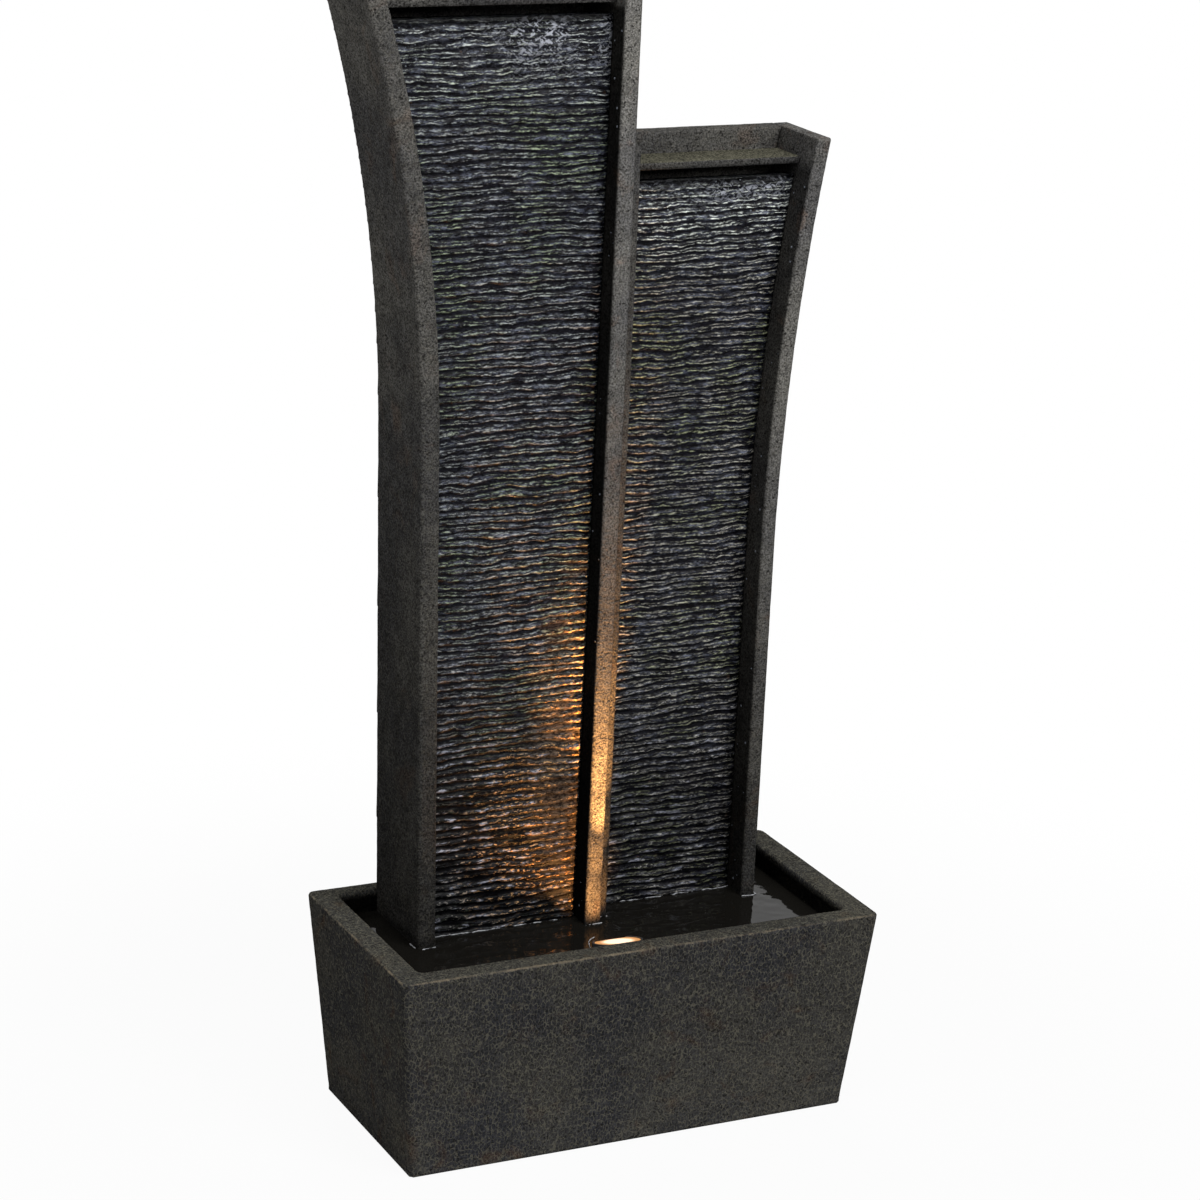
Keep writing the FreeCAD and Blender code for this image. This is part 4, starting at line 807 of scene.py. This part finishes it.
# Foam lines with painted sheen, and beads of water
def foam_tree():
    """Turns plain lines into thin wavering threads of foam that break off and start again."""
    sizes = {"Step": 0.9 * MM, "Waver": 2.4 * MM, "Thread": 0.38 * MM, "Scatter": 0.41}
    bench, given, out = tree_with("foam_threads", sizes)
    line = bench.add("GeometryNodeMeshToCurve", inputs={0: given["Geometry"]}).outputs[0]
    line = bench.add("GeometryNodeResampleCurve", {"mode": "LENGTH"},
                     {"Curve": line, "Length": given["Step"]}).outputs[0]
    place = bench.add("GeometryNodeInputPosition").outputs[0]
    shift = bench.add("ShaderNodeTexNoise", inputs={"Vector": place, "Scale": 130.0, "Detail": 3.0})
    middle = bench.add("ShaderNodeVectorMath", {"operation": "SUBTRACT"},
                       {0: shift.outputs["Color"], 1: (0.5, 0.5, 0.5)}).outputs[0]
    reach = bench.times(given["Waver"], 2)
    line = bench.moved(line, bench.lengthened(bench.scaled(middle, (1.0, 1.0, 0.3)), reach))
    gaps = bench.noise(place, 75, 3, 0.6)
    unbroken = bench.maths("ADD", given["Scatter"], 0.12)
    width = bench.ramp(gaps, given["Scatter"], unbroken, 0, given["Thread"])
    line = bench.add("GeometryNodeSetCurveRadius", inputs={"Curve": line, "Radius": width}).outputs[0]
    ring = bench.add("GeometryNodeCurvePrimitiveCircle", inputs={"Resolution": 6, "Radius": 1.0})
    radius = bench.add("GeometryNodeInputRadius").outputs[0]
    tube = bench.add("GeometryNodeCurveToMesh",
                     inputs={"Curve": line, "Profile Curve": ring.outputs[0], "Scale": radius})
    bench.feed(out["Geometry"], tube.outputs[0])
    return bench.tree


def foam():
    """Foam along the water line of the walls and panels, and around the lamp; its pale grey is partly
    foam and partly painted sheen of the ripples.
    """
    level = WATER_LEVEL + FOAM_LIFT
    tall_wall = wall_face(TALL_REACH, TALL_LEAN, TALL_BEND, TALL_RADIUS, 0, level)
    tall_edge = float(tall_wall) + FOAM_GAP
    short_edge = SHORT_REACH + FOAM_GAP
    tall_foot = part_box("tall_cascade_panel")[0].y
    short_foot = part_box("short_cascade_panel")[0].y
    tall_front = TALL_FRONT - FOAM_GAP
    short_front = SHORT_FRONT - FOAM_GAP
    low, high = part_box("lamp_bezel")
    lamp = (low + high) / 2
    around = high.x - lamp.x + FOAM_AROUND
    turns = np.linspace(*FOAM_TURN, FOAM_STEPS)
    arc = [(lamp.x + around * math.cos(turn), lamp.y + around * math.sin(turn)) for turn in turns]
    routes = [
        [(-tall_edge, FOAM_LEFT_END), (-tall_edge, tall_front), (-tall_edge + TALL_WALL, tall_front)],
        [(-tall_edge + TALL_WALL, tall_foot), (-DIVIDER_HALF, tall_foot)],
        [(-DIVIDER_HALF, tall_front), (DIVIDER_HALF, tall_front)],
        [(DIVIDER_HALF, short_front), (SHORT_LEFT, short_front)],
        [(SHORT_LEFT, short_foot), (SHORT_REACH - SHORT_WALL, short_foot)],
        [(SHORT_REACH - SHORT_WALL, short_front), (short_edge, short_front),
         (short_edge, FOAM_RIGHT_END)],
        arc,
    ]
    points = []
    edges = []
    for route in routes:
        edges += [(len(points) + step, len(points) + step + 1) for step in range(len(route) - 1)]
        points += [(x, y, level) for x, y in route]
    mesh = new_mesh("foam_threads", points, edges, [])
    made = settle(shaped_by(new_object("foam_threads", mesh), foam_tree(), {}))
    # Pale grey threads: foam, and painted sheen of small ripples at the water line.
    paint = Finish("foam", Roughness=0.35)
    mottle = paint.ramp(paint.noise(paint.place, 300, 3), 0.3, 0.7, 0.5, 1.5)
    paint.set("Base Color", paint.shade(FOAM_SHEEN_GREY, mottle))
    made.data.materials.append(paint.material)
    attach(made, "fountain")


def bead_tree(material):
    """Scatters flattened beads of water over a face, thicker where a slow noise is high."""
    sizes = {"Density": 4000.0, "Small": 0.4 * MM, "Large": 1.2 * MM, "Flat": 0.5}
    bench, given, out = tree_with("water_beads", sizes)
    place = bench.add("GeometryNodeInputPosition").outputs[0]
    share = bench.ramp(bench.noise(place, 45, 3, 0.6), 0.42, 0.66)
    density = bench.times(share, given["Density"])
    points = bench.add("GeometryNodeDistributePointsOnFaces", {"distribute_method": "RANDOM"},
                       {"Mesh": given["Geometry"], "Density": density, "Seed": 7})
    bead = bench.add("GeometryNodeMeshIcoSphere", inputs={"Radius": 1.0, "Subdivisions": 2}).outputs[0]
    wide = bench.add("FunctionNodeRandomValue", {"data_type": "FLOAT"},
                     {2: given["Small"], 3: given["Large"], "Seed": 3}).outputs[1]
    thick = bench.times(wide, given["Flat"])
    scale = bench.add("ShaderNodeCombineXYZ", inputs={0: wide, 1: wide, 2: thick}).outputs[0]
    placed = bench.add("GeometryNodeInstanceOnPoints", inputs={
        "Points": points.outputs[0],
        "Instance": bead,
        "Rotation": points.outputs["Rotation"],
        "Scale": scale,
    }).outputs[0]
    solid = bench.add("GeometryNodeRealizeInstances", inputs={0: placed}).outputs[0]
    dressed = bench.add("GeometryNodeSetMaterial",
                        inputs={"Geometry": solid, "Material": material})
    bench.feed(out["Geometry"], dressed.outputs[0])
    return bench.tree


def strip(name, across, near, far, heights):
    """Upright face from near to far, placed across by height; it looks left if far lies behind."""
    points = [(float(x), y, float(z)) for x, z in zip(across(heights), heights) for y in (near, far)]
    faces = [(2 * row, 2 * row + 2, 2 * row + 3, 2 * row + 1) for row in range(len(heights) - 1)]
    return new_object(name, new_mesh(name, points, [], faces))


def head_band(name, node, depth):
    """Face over the head of a cascade panel, from its top down."""
    low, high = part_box(node)
    y = low.y + HEAD_LIFT
    top = high.z - HEAD_DROP
    foot = high.z - depth
    left = low.x + HEAD_INSET
    right = high.x - HEAD_INSET
    points = [(low.x + 3 * HEAD_INSET, y, foot), (right, y, foot), (right, y, top), (left, y, top)]
    return new_object(name, new_mesh(name, points, [], [(0, 1, 2, 3)]))


def beads():
    """Beads on the wet inner walls and where the water breaks at the panels' heads."""
    clear = Finish("water_bead", Base_Color=(0.10, 0.11, 0.13, 1), Roughness=0.06, IOR=1.33)
    tree = bead_tree(clear.material)
    tall = np.linspace(WATER_LEVEL, TALL_BEAD_TOP, BEAD_ROWS)
    short = np.linspace(WATER_LEVEL, SHORT_BEAD_TOP, BEAD_ROWS)
    tall_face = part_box("tall_cascade_panel")[0].y
    short_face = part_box("short_cascade_panel")[0].y
    tall_front = TALL_FRONT + BEAD_INSET
    short_front = SHORT_FRONT + BEAD_INSET
    wet_faces = [
        (strip("beads_divider", upright(-DIVIDER_HALF), tall_front, tall_face, tall), {}),
        (strip("beads_right", short_inner, short_front, short_face, short), {}),
        (strip("beads_left", tall_inner, tall_face, tall_front, tall), {}),
        (strip("beads_middle", upright(SHORT_LEFT), short_face, short_front, short), {}),
        (head_band("beads_tall_head", "tall_cascade_panel", SPLASH_DEPTH),
         {"Density": 26000.0, "Large": HEAD_BEAD}),
        (head_band("beads_short_head", "short_cascade_panel", SHORT_SPLASH),
         {"Density": 34000.0, "Large": HEAD_BEAD}),
    ]
    for made, sizes in wet_faces:
        settle(shaped_by(made, tree, sizes))
        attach(made, "fountain")


# Stage
def aim(made, target):
    made.rotation_euler = (Vector(target) - made.location).to_track_quat("-Z", "Y").to_euler()


def softbox(name, place, target, width, height, power):
    lamp = bpy.data.lights.new(name, "AREA")
    lamp.shape = "RECTANGLE"
    lamp.size = width
    lamp.size_y = height
    lamp.energy = power
    made = new_object(name, lamp)
    made.location = place
    aim(made, target)


def seen_rays(bench):
    """1 for camera, glossy and transmission rays."""
    rays = bench.add("ShaderNodeLightPath").outputs
    seen = bench.maths("MAXIMUM", rays["Is Camera Ray"], rays["Is Glossy Ray"])
    return bench.maths("MAXIMUM", seen, rays["Is Transmission Ray"])


def white_room(ambient):
    world = bpy.data.worlds.new("white_room")
    world.use_nodes = True
    bench = Bench(world.node_tree)
    background = world.node_tree.nodes["Background"].inputs
    bench.feed(background["Strength"], bench.ramp(seen_rays(bench), 0, 1, ambient, 1))
    bench.feed(background["Color"], (1, 1, 1, 1))
    bpy.context.scene.world = world


def pale_floor(reach, shadow_reach, shadow_share):
    corners = [(-reach, -reach, 0), (reach, -reach, 0), (reach, reach, 0), (-reach, reach, 0)]
    mesh = new_mesh("floor", corners, [], [(0, 1, 2, 3)])
    floor = new_object("floor", mesh)
    paint = Finish("floor_white", Roughness=0.9)
    paint.set("Base Color", (0.45, 0.45, 0.45, 1))
    paint.set("Specular IOR Level", 0.0)
    length = paint.add("ShaderNodeVectorMath", {"operation": "LENGTH"}, {0: paint.place})
    near = 0.4 * shadow_reach
    plain = paint.ramp(length.outputs["Value"], near, shadow_reach, 1 - shadow_share, 1)
    glow = paint.add("ShaderNodeEmission", inputs={"Color": (1, 1, 1, 1), "Strength": 1.0})
    share = paint.times(plain, seen_rays(paint))
    both = paint.add("ShaderNodeMixShader",
                     inputs={0: share, 1: paint.shader.outputs[0], 2: glow.outputs[0]})
    paint.feed(paint.tree.nodes["Material Output"].inputs["Surface"], both.outputs[0])
    mesh.materials.append(paint.material)


def camera():
    yaw, pitch, roll = (math.radians(angle) for angle in (CAMERA_YAW, CAMERA_PITCH, CAMERA_ROLL))
    ahead = Vector((math.sin(yaw) * math.cos(pitch), math.cos(yaw) * math.cos(pitch), -math.sin(pitch)))
    level = Vector((math.cos(yaw), -math.sin(yaw), 0))
    plumb = level.cross(ahead)
    across = math.cos(roll) * level + math.sin(roll) * plumb
    up = math.cos(roll) * plumb - math.sin(roll) * level
    data = bpy.data.cameras.new("camera")
    data.sensor_width = SENSOR_WIDTH
    data.lens = CAMERA_LENS
    made = new_object("camera", data)
    turn = Matrix((across, up, -ahead)).transposed().to_4x4()
    made.matrix_world = Matrix.Translation(CAMERA_PLACE) @ turn
    bpy.context.scene.camera = made


def lamp_light():
    """Warm light out of the lens, up the divider and the tall cascade, which tilts with the lamp."""
    low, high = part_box("lamp_lens")
    source = (low + high) / 2 + LAMP_OFFSET
    panel_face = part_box("tall_cascade_panel")[0].y
    # Name, power in watts, spread in degrees, target
    beams = [
        ("shaft", 34, 18, (3 * MM, TALL_FRONT, 362 * MM)),
        ("spill", 14, 23, (-42 * MM, panel_face, 440 * MM)),
        ("hot_spot", 32, 20, (3 * MM, TALL_FRONT, 288 * MM)),
        ("low_spot", 3.0, 28, (2 * MM, TALL_FRONT, 233 * MM)),
        ("near_glow", 0.98, 64, (-36 * MM, panel_face, 235 * MM)),
        ("left_flare", 1.25, 60, (-130 * MM, panel_face, 320 * MM)),
        ("foot_glow", 1.2, 56, (0, TALL_FRONT, 189 * MM)),
    ]
    for label, power, spread, target in beams:
        light = bpy.data.lights.new("lamp_" + label, "SPOT")
        light.energy = power
        light.color = LAMP_COLOUR
        light.spot_size = math.radians(spread)
        light.spot_blend = 1.0
        light.shadow_soft_size = 0
        made = new_object("lamp_" + label, light)
        made.location = source
        aim(made, target)
        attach(made, "lamp_head")


def dress_plain_nodes():
    """Finishes of the pieces that keep their own shape."""
    rubber = moulded("black_rubber", (0.022, 0.022, 0.022, 1), rough=0.72)
    pump = moulded("pump_plastic", (0.026, 0.026, 0.028, 1), rough=0.46)
    dial = moulded("dial_plastic", (0.05, 0.16, 0.30, 1), rough=0.4)
    ceramic = moulded("shaft_ceramic", (0.80, 0.78, 0.73, 1), rough=0.25, grain=400, depth=0.03 * MM)
    magnet = moulded("rotor_magnet", (0.065, 0.065, 0.07, 1), rough=0.5, grain=1500, depth=0.08 * MM,
                     Metallic=0.6)
    vinyl = moulded("clear_hose", (0.62, 0.66, 0.66, 1), rough=0.2, grain=200, depth=0.05 * MM,
                    Transmission_Weight=0.75)
    pipe = moulded("pipe_plastic", (0.42, 0.43, 0.43, 1), rough=0.45)
    board = moulded("lamp_board", (0.82, 0.80, 0.73, 1), rough=0.35, grain=1200, depth=0.04 * MM)
    hatch = moulded("hatch_plastic", (0.040, 0.039, 0.035, 1), rough=0.58, grain=700, depth=0.25 * MM)
    steel = brushed_steel("stainless")
    stone = cast_stone("inner_stone", tone=0.9, foot_shading=1.0, mottling=0.3, hairs=0.1, rust_share=0.4)
    finishes = {
        stone: ("tall_header_floor", "short_header_floor"),
        rubber: ("cord_grommet", "drain_stopper", "pump_suction_feet", "pump_cable_gland",
                 "riser_grommets", "lamp_gasket"),
        pump: ("pump_housing", "pump_chamber_cover", "pump_strainer_cover", "lamp_housing",
               "lamp_bezel"),
        dial: ("pump_flow_dial", "valve_plug"),
        ceramic: ("pump_shaft",),
        magnet: ("pump_rotor", "hatch_magnet"),
        vinyl: ("supply_hose", "tall_riser_hose", "short_riser_hose"),
        pipe: ("branch_tee", "valve_body", "tall_spray_pipe", "short_spray_pipe",
               "spray_pipe_caps"),
        board: ("lamp_board",),
        hatch: ("hatch_frame", "hatch_door", "hatch_pull"),
        steel: ("hose_clips", "lamp_strap", "lamp_strap_screws", "lamp_pivot_screws",
                "hatch_hinge_pin", "hatch_striker"),
        lit_lens("lamp_glass"): ("lamp_lens",),
    }
    for finish, nodes in finishes.items():
        for node in nodes:
            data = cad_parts[node].data
            data.materials.clear()
            data.materials.append(finish)


def dress_towers():
    wall_stone = cast_stone("wall_stone", tone=0.86, foot_shading=0.42, mottling=0.2, hairs=0.15,
                            rust_share=0.35)
    back_stone = cast_stone("back_stone", tone=0.85, foot_shading=0.5, mottling=0.18, hairs=0.15,
                            rust_share=0.35)
    # The divider's stone (tone 1.5) and the right wall's (tone 1.3, lighter where wet) are lighter
    # copies of the wall stone: painted light on the faces that the light reaches.
    pale_stone = cast_stone("pale_stone", tone=1.5, foot_shading=0.4, mottling=0.15, hairs=0.15,
                            rust_share=0.5)
    edge_stone = cast_stone("edge_stone", tone=1.3, foot_shading=0.38, mottling=0.15, hairs=0.15,
                            rust_share=0.5, wet_shade_tone=0.3, foot=(200 * MM, 620 * MM))
    hood_stone = cast_stone("hood_stone", tone=0.75, foot_shading=1.0, mottling=0.15, hairs=0.0,
                            rust_share=0.1)
    basin_stone = cast_stone("basin_stone", tone=0.46, foot_shading=1.25, mottling=0.12, hairs=0.5,
                             rust_share=0.7, foot=(0, 120 * MM), rubbed=True)
    basin = cast_piece("basin", voxel=2.6 * MM, swell=0.6 * MM, dent=0.4 * MM, material=basin_stone)
    wet_basin(basin)
    settle_dust(basin, 0.3)
    tall = (TALL_FRONT, "tall_spill_hood")
    short = (SHORT_FRONT, "short_spill_hood")
    # Node, voxel, swell, dent, stone, way that the wet face looks, front and hood of the tower
    walls = [
        ("tall_left_wall", 2.2 * MM, 0.6 * MM, 0.4 * MM, wall_stone, 1, tall),
        ("divider_wall", 2.0 * MM, 0.5 * MM, 0.4 * MM, pale_stone, -1, tall),
        ("short_left_wall", 2.0 * MM, 0.6 * MM, 0.5 * MM, wall_stone, 1, short),
        ("short_right_wall", 2.0 * MM, 0.5 * MM, 0.4 * MM, edge_stone, -1, short),
    ]
    for node, voxel, swell, dent, stone, facing, tower in walls:
        wet_side(cast_piece(node, voxel, swell, dent, stone), facing, *tower)
    for node in ("tall_back_panel", "short_back_panel"):
        cast_piece(node, voxel=2.6 * MM, swell=0.6 * MM, dent=0.5 * MM, material=back_stone)
    for node in ("tall_spill_hood", "short_spill_hood"):
        hood = cast_piece(node, voxel=1.4 * MM, swell=0.3 * MM, dent=0.3 * MM, material=hood_stone)
        settle_dust(hood, 0.8)
        drip_and_shade_edge(hood, node)
    courses = wet_courses("wet_courses")
    tall_head = {"Splash": SPLASH_DEPTH, "Rush Highlight": 0.3, "Calm Side": -150 * MM, "Lively Side": -60 * MM}
    short_head = {"Splash": SHORT_SPLASH, "Rush Highlight": 0.9, "Calm Side": -60 * MM, "Lively Side": 30 * MM}
    cascade("tall_cascade_panel", tall_inner, upright(-DIVIDER_HALF - BOND), tall_head, courses)
    cascade("short_cascade_panel", upright(SHORT_LEFT + BOND), short_inner, short_head, courses)


def light_stage():
    bpy.context.scene.view_settings.view_transform = "Standard"
    white_room(ambient=0.1)
    pale_floor(reach=20, shadow_reach=1.0, shadow_share=0.05)
    # Name, place, target, width, height, power in watts
    softboxes = [
        ("key", (1.2, -2.7, 2.3), (0, 0, 0.5), 1.5, 1.5, 78),
        ("overhead", (0.1, -0.8, 2.3), (0, 0, 0.3), 1.2, 1.0, 26),
        ("side", (-1.1, -0.45, 1.25), (-0.2, 0, 0.5), 0.8, 0.8, 8),
        ("back", (0.5, 2.4, 2.5), (0, 0, 0.5), 1.2, 1.2, 42),
    ]
    for box in softboxes:
        softbox(*box)


camera()
dress_plain_nodes()
dress_towers()
bond_lines()
pool()
foam()
beads()
light_stage()
lamp_light()
